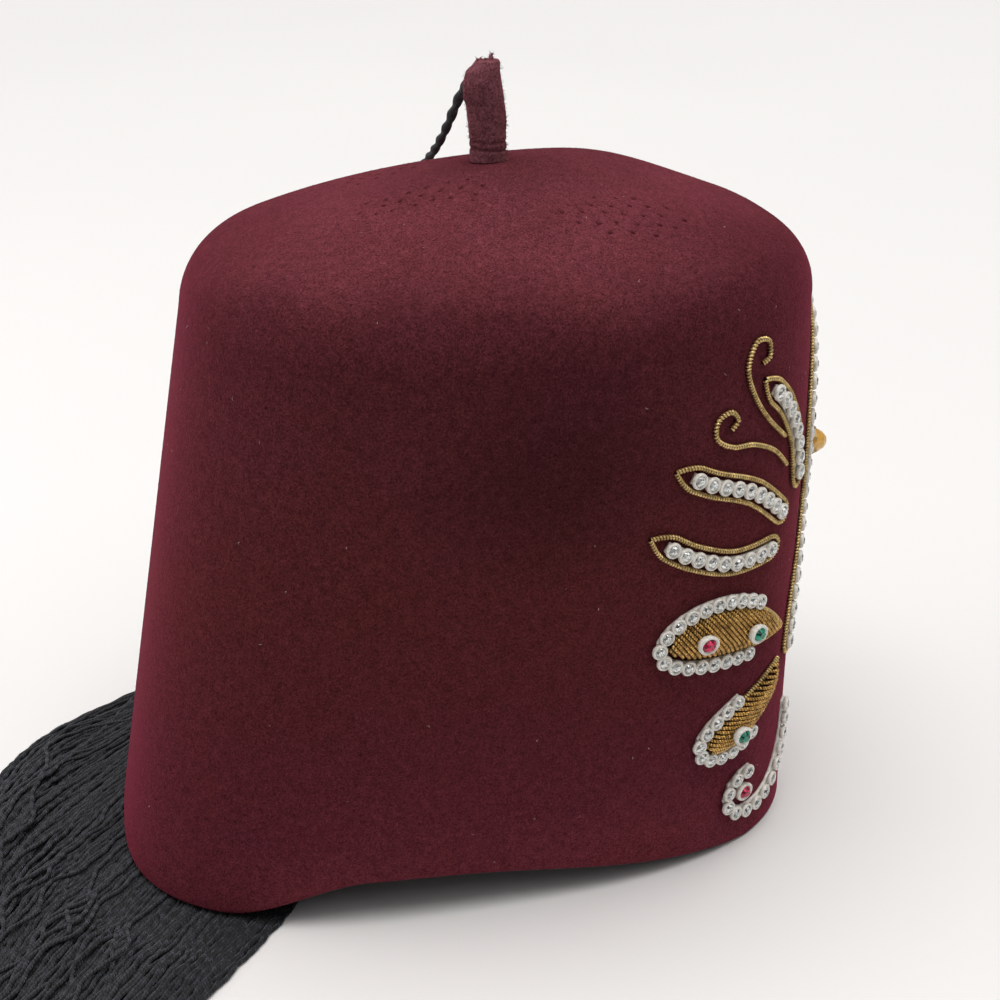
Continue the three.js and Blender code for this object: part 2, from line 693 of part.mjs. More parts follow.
// Faceted stone that stands on the felt
function makeSideAmber(place) {
  const centre = onFront(place);
  const normal = frontNormal(place);
  const up = new THREE.Vector3(0, 0, 1).addScaledVector(normal, -normal.z).normalize();
  const side = normal.clone().cross(up);
  const rings = SIDE_AMBER.rings.map(([radius, rise]) => Array.from({ length: 8 }, (_, k) => {
    const turn = ((k + 0.5) / 8) * 2 * Math.PI;
    return centre.clone()
      .addScaledVector(normal, rise)
      .addScaledVector(side, radius * Math.cos(turn))
      .addScaledVector(up, radius * Math.sin(turn));
  }));
  return loft(rings, {
    startPoint: centre.clone().addScaledVector(normal, SIDE_AMBER.rings[0][1]),
    endPoint: centre.clone().addScaledVector(normal, SIDE_AMBER.point),
  });
}

function onBossAxis(profile) {
  const place = [0, MEDALLION.height];
  const centre = onFront(place);
  const turn = new THREE.Quaternion().setFromUnitVectors(new THREE.Vector3(0, 1, 0), frontNormal(place));
  const lathe = weld(new THREE.LatheGeometry(profile.map((row) => new THREE.Vector2(...row)), BOSS.sides));
  return lathe.applyQuaternion(turn).translate(centre.x, centre.y, centre.z);
}

function makeBossStone() {
  const base = 2 * GAP;
  const rise = BOSS.height - base - BOSS.girdle;
  const dome = [0, 25, 50, 72].map((turn) => [
    BOSS.radius * Math.cos(turn * DEGREE),
    base + BOSS.girdle + rise * Math.sin(turn * DEGREE),
  ]);
  return onBossAxis([[0, base], [BOSS.radius, base], ...dome, [0, BOSS.height]]);
}

function makeBossRing() {
  const { inner, outer, foot, height } = BOSS_RING;
  return onBossAxis([[inner, GAP], [foot, GAP], [outer, height], [inner, height], [inner, GAP]]);
}

function addOrnament() {
  addPiece('boss_stone', makeBossStone(), MATERIALS.amber);
  addPiece('boss_setting', makeBossRing(), MATERIALS.bullion);
  addPiece('medallion_stones', makeStoneRow(ringPlaces(MEDALLION), true), MATERIALS.rhinestone);
  addPiece(BUD_PAD.name, makePad(BUD_PAD, 1), MATERIALS.bullion);
  for (const [side, mirror] of [['right', 1], ['left', -1]]) {
    for (const row of STONE_ROWS) {
      const places = spacedPlaces(row.path, row.count, mirror);
      addPiece(`${row.name}_${side}`, makeStoneRow(places, false), MATERIALS.rhinestone);
    }
    for (const pad of PADS) {
      addPiece(`${pad.name}_${side}`, makePad(pad, mirror), MATERIALS.bullion);
      const places = padBorderPlaces(pad, mirror);
      addPiece(`${pad.name}_border_${side}`, makeStoneRow(places, false), MATERIALS.rhinestone);
    }
    for (const { name, pad, along, colour } of PAD_STONES) {
      const under = PADS.find((row) => row.name === pad);
      const turn = Math.acos(1 - 2 * along) / (2 * Math.PI);
      const [rightEdge, leftEdge] = [dropPlace(under, turn), dropPlace(under, 1 - turn)];
      const place = [(rightEdge[0] + leftEdge[0]) / 2, (rightEdge[1] + leftEdge[1]) / 2];
      const stone = makeCupStone(mirrored(place, mirror), 2 * GAP + PAD_HEIGHT);
      addPiece(`${name}_${side}`, stone, MATERIALS[colour]);
    }
    const { name, at, colour } = TENDRIL_STONE;
    addPiece(`${name}_${side}`, makeCupStone(mirrored(at, mirror), GAP), MATERIALS[colour]);
    const amberPlace = mirrored(SIDE_AMBER.at, mirror);
    addPiece(`${SIDE_AMBER.name}_${side}`, makeSideAmber(amberPlace), MATERIALS.amber);
  }
}

addPiece('crown', makeCrown(), MATERIALS.felt);
addPiece('stem', makeStem(), MATERIALS.stemFelt);
addPiece('tassel_cord', makeCord(), MATERIALS.cord);
addPiece('tassel_head', makeHead(), MATERIALS.cord);
addPiece('tassel_fringe', makeFringe(), MATERIALS.fringe);
addOrnament();

export default hat;
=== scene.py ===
"""Fez hat: a felt crown with a rolled stem, a cord with a tassel, and a stitched ornament on its front.

Lengths are millimetres in the shapes below and become metres in each Blender mesh. +Z is up, the front
faces -Y and the wearer's right is -X.
"""

from __future__ import annotations

import json
import logging
import math
from dataclasses import dataclass, field
from enum import Enum
from typing import Iterable, Sequence

import bmesh
import bpy
import numpy as np
from mathutils import Matrix, Vector

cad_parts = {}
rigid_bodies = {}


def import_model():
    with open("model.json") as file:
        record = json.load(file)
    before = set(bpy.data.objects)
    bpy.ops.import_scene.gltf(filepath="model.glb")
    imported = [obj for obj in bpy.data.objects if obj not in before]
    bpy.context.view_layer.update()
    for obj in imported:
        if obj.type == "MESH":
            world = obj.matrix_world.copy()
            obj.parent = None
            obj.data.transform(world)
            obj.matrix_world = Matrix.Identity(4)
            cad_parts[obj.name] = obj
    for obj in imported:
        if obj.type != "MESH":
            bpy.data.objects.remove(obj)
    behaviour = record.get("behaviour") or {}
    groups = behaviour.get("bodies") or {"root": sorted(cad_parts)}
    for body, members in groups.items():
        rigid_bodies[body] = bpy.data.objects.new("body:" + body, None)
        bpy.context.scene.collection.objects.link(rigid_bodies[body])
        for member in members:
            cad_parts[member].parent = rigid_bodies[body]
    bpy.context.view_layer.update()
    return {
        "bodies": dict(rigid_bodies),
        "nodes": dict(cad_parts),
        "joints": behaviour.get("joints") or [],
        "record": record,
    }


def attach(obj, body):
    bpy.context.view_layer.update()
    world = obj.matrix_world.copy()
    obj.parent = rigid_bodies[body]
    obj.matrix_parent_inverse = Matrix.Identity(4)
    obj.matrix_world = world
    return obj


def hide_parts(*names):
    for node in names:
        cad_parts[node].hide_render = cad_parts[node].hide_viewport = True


LOG = logging.getLogger("fez")

MM = 0.001
TAU = 2 * math.pi
ROOT = "root"

Array = np.ndarray
Colour = tuple[float, float, float]
Socket = bpy.types.NodeSocket
Value = bpy.types.NodeSocket | float


# Small numeric helpers


def smoothstep(low: float, high: float, value: Array) -> Array:
    """Smooth ramp from 0 at low to 1 at high.

    Args:
        low: Value where the ramp starts.
        high: Value where the ramp ends.
        value: Values to map.

    Returns:
        The mapped values, from 0 to 1.
    """
    t = np.clip((np.asarray(value, float) - low) / (high - low), 0.0, 1.0)
    return t * t * (3 - 2 * t)


def mix(a: Array, b: Array, t: Array) -> Array:
    """Linear blend between two values.

    Args:
        a: Value at t = 0.
        b: Value at t = 1.
        t: Blend factor.

    Returns:
        The blended value.
    """
    return a + (b - a) * t


def bell(offset: Array, spread: float) -> Array:
    """Bell curve that is 1 at no offset.

    Args:
        offset: Distance from the middle.
        spread: Distance at which the curve has fallen to 1/e.

    Returns:
        The height of the curve.
    """
    return np.exp(-((offset / spread) ** 2))


def unit(vectors: Array) -> Array:
    """Vectors scaled to a length of 1.

    Args:
        vectors: Vectors along the last axis.

    Returns:
        The unit vectors.
    """
    length = np.linalg.norm(vectors, axis=-1, keepdims=True)
    return vectors / np.maximum(length, 1e-12)


def turns(count: int, offset: float = 0.0) -> Array:
    """Angles at equal steps round a circle.

    Args:
        count: Number of angles.
        offset: Part of a step that the first one is turned by.

    Returns:
        The angles.
    """
    return (np.arange(count) + offset) / count * TAU


def circle(side: Array, up: Array, angles: Array) -> Array:
    """Directions round an axis.

    Args:
        side: Unit vector at angle 0.
        up: Unit vector at a quarter turn.
        angles: The angles.

    Returns:
        One direction for each angle.
    """
    return np.cos(angles)[:, None] * side + np.sin(angles)[:, None] * up


def arc_length(path: Array) -> Array:
    """Distance walked along a polyline at each of its points.

    Args:
        path: Points of the polyline.

    Returns:
        One distance for each point, from 0.
    """
    steps = np.linalg.norm(np.diff(path, axis=0), axis=1)
    return np.concatenate([[0.0], np.cumsum(steps)])


def spaced(path: Array, count: int) -> Array:
    """Points at equal distances along a polyline.

    Args:
        path: Points of the polyline.
        count: How many points to return, with both ends.

    Returns:
        The points.
    """
    walked = arc_length(path)
    wanted = np.linspace(0.0, walked[-1], count)
    return np.stack([np.interp(wanted, walked, path[:, k]) for k in range(path.shape[1])], axis=1)


def spline(points: Sequence[Sequence[float]], per_span: int = 24, centripetal: bool = False) -> Array:
    """Catmull-Rom curve through points.

    Args:
        points: The points that the curve passes.
        per_span: Samples for each span between two points.
        centripetal: Whether the spans are weighted by the root of their length.

    Returns:
        A dense polyline.
    """
    nodes = np.asarray(points, float)
    t = np.linspace(0.0, 1.0, per_span, endpoint=False)[:, None]
    spans = []
    for k in range(len(nodes) - 1):
        here, there = nodes[k], nodes[k + 1]
        if centripetal:
            before = nodes[k - 1] if k > 0 else 2 * nodes[0] - nodes[1]
            after = nodes[k + 2] if k + 2 < len(nodes) else 2 * nodes[-1] - nodes[-2]
            d0, d1, d2 = (max(np.sum((b - a) ** 2) ** 0.25, 1e-4) for a, b in
                          ((before, here), (here, there), (there, after)))
            start = ((here - before) / d0 - (there - before) / (d0 + d1) + (there - here) / d1) * d1
            end = ((there - here) / d1 - (after - here) / (d1 + d2) + (after - there) / d2) * d1
        else:
            before = nodes[max(k - 1, 0)]
            after = nodes[min(k + 2, len(nodes) - 1)]
            start, end = (there - before) / 2, (after - here) / 2
        spans.append(here + start * t + (3 * (there - here) - 2 * start - end) * t**2
                     + (2 * (here - there) + start + end) * t**3)
    return np.concatenate([*spans, nodes[-1:]])


def wander(rng: np.random.Generator, length: int, waves: int, size: float) -> Array:
    """Smooth random curve along a strand, made of a few sine waves.

    Args:
        rng: Random source.
        length: Number of samples.
        waves: Number of sine waves.
        size: Size of the largest wave.

    Returns:
        One offset for each sample.
    """
    t = np.linspace(0.0, 1.0, length)
    order = np.arange(1, waves + 1)[:, None]
    phases = rng.uniform(0.0, TAU, (waves, 1))
    sizes = rng.normal(0.0, size, (waves, 1)) / order
    return np.sum(sizes * np.sin(TAU * order * t * 0.8 + phases), axis=0)


# Meshes


class MeshDraft:
    """Collects vertices in millimetres and faces, and turns them into one Blender object."""

    def __init__(self) -> None:
        """Starts an empty draft."""
        self._points: list[Array] = []
        self._faces: list[tuple[Array, int, Array, Array, bool]] = []
        self._count = 0

    def add(self, points: Array, faces: Iterable[Array], material: int = 0, shade: Array | float = 0.5,
            uvs: Iterable[Array] | None = None, smooth: bool = True) -> None:
        """Adds vertices and the faces between them.

        Args:
            points: Vertices, in millimetres.
            faces: Arrays of faces, each of one number of corners, as indices into points.
            material: Index of the material slot.
            shade: A value for each face, or one for all, that materials read as "shade".
            uvs: For each face array, the UV of each corner.
            smooth: Whether the faces are shaded smooth.
        """
        faces = [np.asarray(face, np.int64) for face in faces]
        uvs = list(uvs) if uvs is not None else [np.zeros((*face.shape, 2)) for face in faces]
        done = 0
        for face, uv in zip(faces, uvs):
            values = np.asarray(shade, float)
            values = np.full(len(face), float(values)) if values.ndim == 0 else values[done:done + len(face)]
            done += len(face)
            self._faces.append((face + self._count, material, values, uv, smooth))
        self._points.append(np.asarray(points, float))
        self._count += len(points)

    def build(self, name: str, materials: Sequence[bpy.types.Material],
              weld: float | None = None) -> bpy.types.Object:
        """Makes the object.

        Args:
            name: Name of the object and its mesh.
            materials: Materials, in the order of their slots.
            weld: Distance in millimetres under which vertices merge, or None to keep all.

        Returns:
            The new object, linked to the scene.
        """
        mesh = bpy.data.meshes.new(name)
        points = np.concatenate(self._points) * MM
        sizes = np.concatenate([np.full(len(face), face.shape[1]) for face, *_ in self._faces])
        corners = np.concatenate([face.ravel() for face, *_ in self._faces])
        mesh.vertices.add(len(points))
        mesh.vertices.foreach_set("co", points.ravel())
        mesh.loops.add(len(corners))
        mesh.loops.foreach_set("vertex_index", corners.astype(np.int32))
        mesh.polygons.add(len(sizes))
        starts = np.concatenate([[0], np.cumsum(sizes)[:-1]])
        mesh.polygons.foreach_set("loop_start", starts.astype(np.int32))
        slots = np.concatenate([np.full(len(face), slot) for face, slot, *_ in self._faces])
        mesh.polygons.foreach_set("material_index", slots.astype(np.int32))
        smooth = np.concatenate([np.full(len(face), flag) for face, _, _, _, flag in self._faces])
        mesh.polygons.foreach_set("use_smooth", smooth)
        uv = np.concatenate([uv.reshape(-1, 2) for _, _, _, uv, _ in self._faces])
        mesh.uv_layers.new(name="Along").data.foreach_set("uv", uv.ravel())
        shade = np.concatenate([values for _, _, values, _, _ in self._faces])
        mesh.attributes.new("shade", "FLOAT", "FACE").data.foreach_set("value", shade)
        mesh.update(calc_edges=True)
        mesh.validate()
        for material in materials:
            mesh.materials.append(material)
        if weld is not None:
            shell = bmesh.new()
            shell.from_mesh(mesh)
            bmesh.ops.remove_doubles(shell, verts=shell.verts, dist=weld * MM)
            shell.to_mesh(mesh)
            shell.free()
        obj = bpy.data.objects.new(name, mesh)
        bpy.context.scene.collection.objects.link(obj)
        return obj


def ring_faces(rings: int, sides: int, first: int = 0, closed: bool = False) -> Array:
    """Quads between neighbouring rings of equal size.

    Args:
        rings: Number of rings.
        sides: Points in each ring.
        first: Index of the first ring's first point.
        closed: Whether the last ring joins the first.

    Returns:
        The quads.
    """
    row = np.arange(rings if closed else rings - 1)[:, None]
    column = np.arange(sides)[None, :]
    low = first + row * sides
    high = first + ((row + 1) % rings) * sides
    after = (column + 1) % sides
    return np.stack([low + column, low + after, high + after, high + column], axis=-1).reshape(-1, 4)


def fan_faces(start: int, sides: int, centre: int, flip: bool) -> Array:
    """Triangles from a ring to one point.

    Args:
        start: Index of the ring's first point.
        sides: Points in the ring.
        centre: Index of the point.
        flip: Whether the triangles turn the other way.

    Returns:
        The triangles.
    """
    k = np.arange(sides)
    a, b = start + k, start + (k + 1) % sides
    pair = (b, a) if flip else (a, b)
    return np.stack([np.full(sides, centre), *pair], axis=-1)


def end_fans(rings: int, sides: int) -> Array:
    """Triangles that close a row of rings, from its two end points, which follow the rings.

    Args:
        rings: Number of rings.
        sides: Points in each ring.

    Returns:
        The triangles.
    """
    total = rings * sides
    low, high = fan_faces(0, sides, total, True), fan_faces(total - sides, sides, total + 1, False)
    return np.concatenate([low, high])


def transported(path: Array, start_up: Sequence[float] = (0.0, 0.0, 1.0)) -> Array:
    """Side vectors that turn as little as possible along a path.

    Args:
        path: Points of the path.
        start_up: Direction that the first vector is made from.

    Returns:
        One unit vector across the path for each point.
    """
    tangents = unit(np.gradient(path, axis=0))
    up = np.asarray(start_up, float)
    ups = np.empty_like(path)
    for k, tangent in enumerate(tangents):
        up = up - tangent * up.dot(tangent)
        up = up / np.linalg.norm(up)
        ups[k] = up
    return ups


def sweep(draft: MeshDraft, path: Array, radius: Array | float, sides: int, up: Array, material: int = 0,
          shade: float = 0.5, flatten: Array | float = 1.0, closed: bool = False,
          along: Array | None = None) -> None:
    """Adds a tube along a path to a draft. Its UV runs round the tube and along it.

    Args:
        draft: The draft.
        path: Points of the centreline.
        radius: One radius, one for each point, or one for each point and side.
        sides: Sides of the section.
        up: Direction across the path, one or one for each point.
        material: Material slot.
        shade: Shade value of the faces.
        flatten: Height of the section as a part of its width.
        closed: Whether the path closes on itself.
        along: UV value of each point of the path, or None for its distance in millimetres.
    """
    count = len(path)
    if closed:
        tangents = unit(np.roll(path, -1, axis=0) - np.roll(path, 1, axis=0))
    else:
        tangents = unit(np.gradient(path, axis=0))
    up = np.broadcast_to(np.asarray(up, float), path.shape)
    side = unit(np.cross(up, tangents))
    up = np.cross(tangents, side)
    turn = turns(sides)
    radius = np.asarray(radius, float)
    radius = np.full((count, sides), float(radius)) if radius.ndim == 0 else radius
    radius = np.repeat(radius[:, None], sides, axis=1) if radius.ndim == 1 else radius
    height = np.broadcast_to(np.asarray(flatten, float), (count,))[:, None, None]
    flat = (np.cos(turn)[None, :, None] * side[:, None, :]
            + np.sin(turn)[None, :, None] * up[:, None, :] * height)
    rings = path[:, None, :] + radius[..., None] * flat
    quads = ring_faces(count, sides, closed=closed)
    walked = arc_length(path) if along is None else np.asarray(along, float)
    if closed:
        walked = np.append(walked, 2 * walked[-1] - walked[-2])
    around = np.arange(sides) / sides
    low, high = walked[:-1], walked[1:]
    shape = (len(low), sides)
    u0, u1 = np.broadcast_to(around, shape), np.broadcast_to(around + 1 / sides, shape)
    v0, v1 = np.broadcast_to(low[:, None], shape), np.broadcast_to(high[:, None], shape)
    uv = np.stack([np.stack([u0, v0], -1), np.stack([u1, v0], -1), np.stack([u1, v1], -1),
                   np.stack([u0, v1], -1)], axis=-2).reshape(-1, 4, 2)
    points = rings.reshape(-1, 3)
    if closed:
        draft.add(points, [quads], material, shade, [uv])
        return
    points = np.concatenate([points, path[:1], path[-1:]])
    caps = end_fans(count, sides)
    draft.add(points, [quads, caps], material, shade, [uv, np.zeros((len(caps), 3, 2))])


# Shape of the crown


@dataclass(frozen=True)
class PlanOutline:
    """Squared oval of the crown's plan."""

    half_length: float
    half_width: float
    squareness: float


@dataclass(frozen=True)
class WallForm:
    """Soft swelling or hollow of the wall."""

    angle: float
    height: float
    spread_angle: float
    spread_height: float
    out: float


@dataclass(frozen=True)
class TopForm:
    """Soft hump or hollow of the top."""

    x: float
    y: float
    spread: float
    rise: float


@dataclass(frozen=True)
class CrownShape:
    """The crown's surface as formulas. Angle 0 is the back and 180 degrees the front."""

    rim: PlanOutline = PlanOutline(104, 70, 2.9)
    top: PlanOutline = PlanOutline(85, 76.8, 2.3)
    rim_centre_y: float = 4.5
    forward_lean: float = 19.3
    top_height: float = 181
    shoulder_radius: float = 18.9
    shoulder_sweep: float = math.radians(66)
    dome_rise: float = 18.1
    dome_power: float = 1.6
    felt: float = 2.5
    tuck_rise: float = 3
    tuck_front: float = -60
    tuck_back: float = 20
    arch_height: float = 14.2
    arch_peak: float = 36
    arch_front: float = -82
    arch_back: float = 78
    arch_power: float = 1.8
    wall_forms: tuple[WallForm, ...] = (
        WallForm(200, 130, 20, 45, 1.5),
        WallForm(218, 20, 16, 25, -1.4),
    )
    top_forms: tuple[TopForm, ...] = (
        TopForm(34, -52, 24, 2.6),
        TopForm(10, 16, 20, -1.4),
        TopForm(-20, -34, 14, -0.9),
    )

    @property
    def shoulder_base(self) -> float:
        """Height where the wall turns into the shoulder."""
        return self.top_height - self.shoulder_radius

    def outline_radius(self, inset: Array, part: Array, angle: Array) -> Array:
        """Radius of the plan outline.

        Args:
            inset: Distance in from the outer surface.
            part: Height as a part of the top's height, from 0 to 1.
            angle: Angle in plan.

        Returns:
            The radius.
        """
        length = mix(self.rim.half_length, self.top.half_length, part) - inset
        width = mix(self.rim.half_width, self.top.half_width, part) - inset
        power = mix(self.rim.squareness, self.top.squareness, part)
        sum_of_powers = np.abs(np.cos(angle) / length) ** power + np.abs(np.sin(angle) / width) ** power
        return sum_of_powers ** (-1 / power)

    def outline(self, angle: Array, z: Array, inset: Array = 0.0) -> Array:
        """Points of the wall.

        Args:
            angle: Angle in plan.
            z: Height.
            inset: Distance in from the outer surface.

        Returns:
            The points.
        """
        angle, z, inset = np.broadcast_arrays(*(np.asarray(v, float) for v in (angle, z, inset)))
        part = np.minimum(z / self.top_height, 1.0)
        radius = self.outline_radius(inset, part, angle)
        for form in self.wall_forms:
            turn = (np.degrees(angle) - form.angle + 180) % 360 - 180
            swell = bell(turn, form.spread_angle) * bell(z - form.height, form.spread_height)
            radius = radius + form.out * swell
        centre = self.rim_centre_y - self.forward_lean * part
        return np.stack([radius * np.sin(angle), centre + radius * np.cos(angle), z], axis=-1)

    def rim_lift(self, angle: Array) -> Array:
        """Height of the rim's edge: it rides on the fringe at the back and arches on the wearer's right.

        Args:
            angle: Angle in plan.

        Returns:
            The height.
        """
        angle = np.asarray(angle, float)
        y = self.outline_radius(0.0, 0.0, angle) * np.cos(angle)
        tuck = self.tuck_rise * smoothstep(self.tuck_front, self.tuck_back, y)
        back = 1 - smoothstep(self.arch_peak, self.arch_back, y)
        ahead = np.maximum(self.arch_peak - y, 0) / (self.arch_peak - self.arch_front)
        arch = np.minimum(back, np.maximum(1 - ahead**self.arch_power, 0))
        return np.where(np.sin(angle) >= 0, tuck, tuck + (self.arch_height - self.tuck_rise) * arch)

    def top_form(self, x: Array, y: Array) -> Array:
        """Rise of the soft forms of the top.

        Args:
            x: Place across.
            y: Place along.

        Returns:
            The rise.
        """
        return sum(form.rise * bell(np.hypot(x - form.x, y - form.y), form.spread) for form in self.top_forms)

    def shoulder(self, angle: Array, fraction: Array, inset: float = 0.0) -> Array:
        """Points of the rounded shoulder.

        Args:
            angle: Angle in plan.
            fraction: 0 at the wall and 1 at the dome.
            inset: Distance in from the outer surface.

        Returns:
            The points.
        """
        radius = self.shoulder_radius - inset
        turn = self.shoulder_sweep * np.asarray(fraction, float)
        point = self.outline(angle, self.shoulder_base, inset + radius * (1 - np.cos(turn)))
        rise = radius * np.sin(turn)
        point[..., 1] -= self.forward_lean * rise / self.top_height
        point[..., 2] = self.shoulder_base + rise + self.top_form(point[..., 0], point[..., 1]) * fraction
        return point

    def dome(self, angle: Array, fraction: Array, inset: float = 0.0) -> Array:
        """Points of the domed top.

        Args:
            angle: Angle in plan.
            fraction: 1 at the shoulder and 0 at the middle.
            inset: Distance in from the outer surface.

        Returns:
            The points.
        """
        angle, fraction = np.broadcast_arrays(np.asarray(angle, float), np.asarray(fraction, float))
        edge = self.shoulder(angle, 1.0, inset)
        middle = (self.shoulder(math.pi, 1.0, inset)[1] + self.shoulder(0.0, 1.0, inset)[1]) / 2
        x = edge[..., 0] * fraction
        y = mix(middle, edge[..., 1], fraction)
        base = self.shoulder_base + (self.shoulder_radius - inset) * math.sin(self.shoulder_sweep)
        z = base + self.dome_rise * (1 - fraction**self.dome_power) + self.top_form(x, y)
        return np.stack([x, y, z], axis=-1)

    def top_at(self, x: Array, y: Array) -> Array:
        """Height of the domed top over a place in plan.

        Args:
            x: Place across.
            y: Place along.

        Returns:
            The height.
        """
        middle = self.dome(0.0, 0.0)[1]
        angle = np.arctan2(x, y - middle)
        edge = self.shoulder(angle, 1.0)
        reach = np.hypot(edge[..., 0], edge[..., 1] - middle)
        return self.dome(angle, np.minimum(np.hypot(x, y - middle) / reach, 1.0))[..., 2]

    def normal(self, angle: Array, z: Array) -> Array:
        """Outward direction of the wall.

        Args:
            angle: Angle in plan.
            z: Height.

        Returns:
            The unit vectors.
        """
        turn_step, height_step = 0.02, 1.0
        around = self.outline(angle + turn_step, z) - self.outline(angle - turn_step, z)
        up = self.outline(angle, z + height_step) - self.outline(angle, z - height_step)
        return unit(np.cross(up, around))


class FrontMap:
    """Places on the crown's front: distance round the wall from the centre line, and height."""

    REACH = 150.0
    TOP = 182.0
    STEP = 2.0
    DEGREES = 130.5

    def __init__(self, shape: CrownShape) -> None:
        """Measures the wall.

        Args:
            shape: The crown's surface.
        """
        self.shape = shape
        swing = math.pi + np.radians(np.arange(0.0, self.DEGREES, 0.5))
        self.alongs = np.arange(0.0, self.REACH + self.STEP, self.STEP)
        self.heights = np.arange(0.0, self.TOP, self.STEP)
        rows = []
        for side in (1, -1):
            angles = math.pi + side * (swing - math.pi)
            rows.append([np.interp(self.alongs, arc_length(shape.outline(angles, z)), angles)
                         for z in self.heights])
        self.tables = np.array(rows)

    def angle(self, places: Array) -> Array:
        """Angle in plan of each place.

        Args:
            places: Pairs of distance and height.

        Returns:
            The angles.
        """
        along, z = places[..., 0], places[..., 1]
        side = (along < 0).astype(int)
        across = np.clip(np.abs(along) / self.STEP, 0, len(self.alongs) - 1.001)
        up = np.clip(z / self.STEP, 0, len(self.heights) - 1.001)
        i, j = across.astype(int), up.astype(int)
        s, t = across - i, up - j
        low = mix(self.tables[side, j, i], self.tables[side, j, i + 1], s)
        high = mix(self.tables[side, j + 1, i], self.tables[side, j + 1, i + 1], s)
        return mix(low, high, t)

    def frame(self, places: Array) -> tuple[Array, Array]:
        """Points on the felt and the outward directions there.

        Args:
            places: Pairs of distance and height.

        Returns:
            The points and the unit vectors.
        """
        places = np.asarray(places, float)
        angle = self.angle(places)
        return self.shape.outline(angle, places[..., 1]), self.shape.normal(angle, places[..., 1])

    def point(self, places: Array, height: Array | float = 0.0) -> Array:
        """Points at a height above the felt.

        Args:
            places: Pairs of distance and height on the wall.
            height: Height above the felt.

        Returns:
            The points.
        """
        points, normals = self.frame(places)
        return points + normals * np.asarray(height, float)[..., None]


# Materials


class Finish(Enum):
    """Materials of the model."""

    FELT = "felt"
    NAP = "felt nap"
    LINT = "lint"
    STEM = "stem felt"
    CORD = "cord"
    FRINGE = "fringe"
    THREAD = "thread"
    BULLION = "bullion"
    COIL = "coil"
    GILT = "gilt"
    CUP = "white cup"
    CRYSTAL = "crystal"
    RUBY = "ruby"
    EMERALD = "emerald"
    AMBER = "amber"
    FLOOR = "floor"


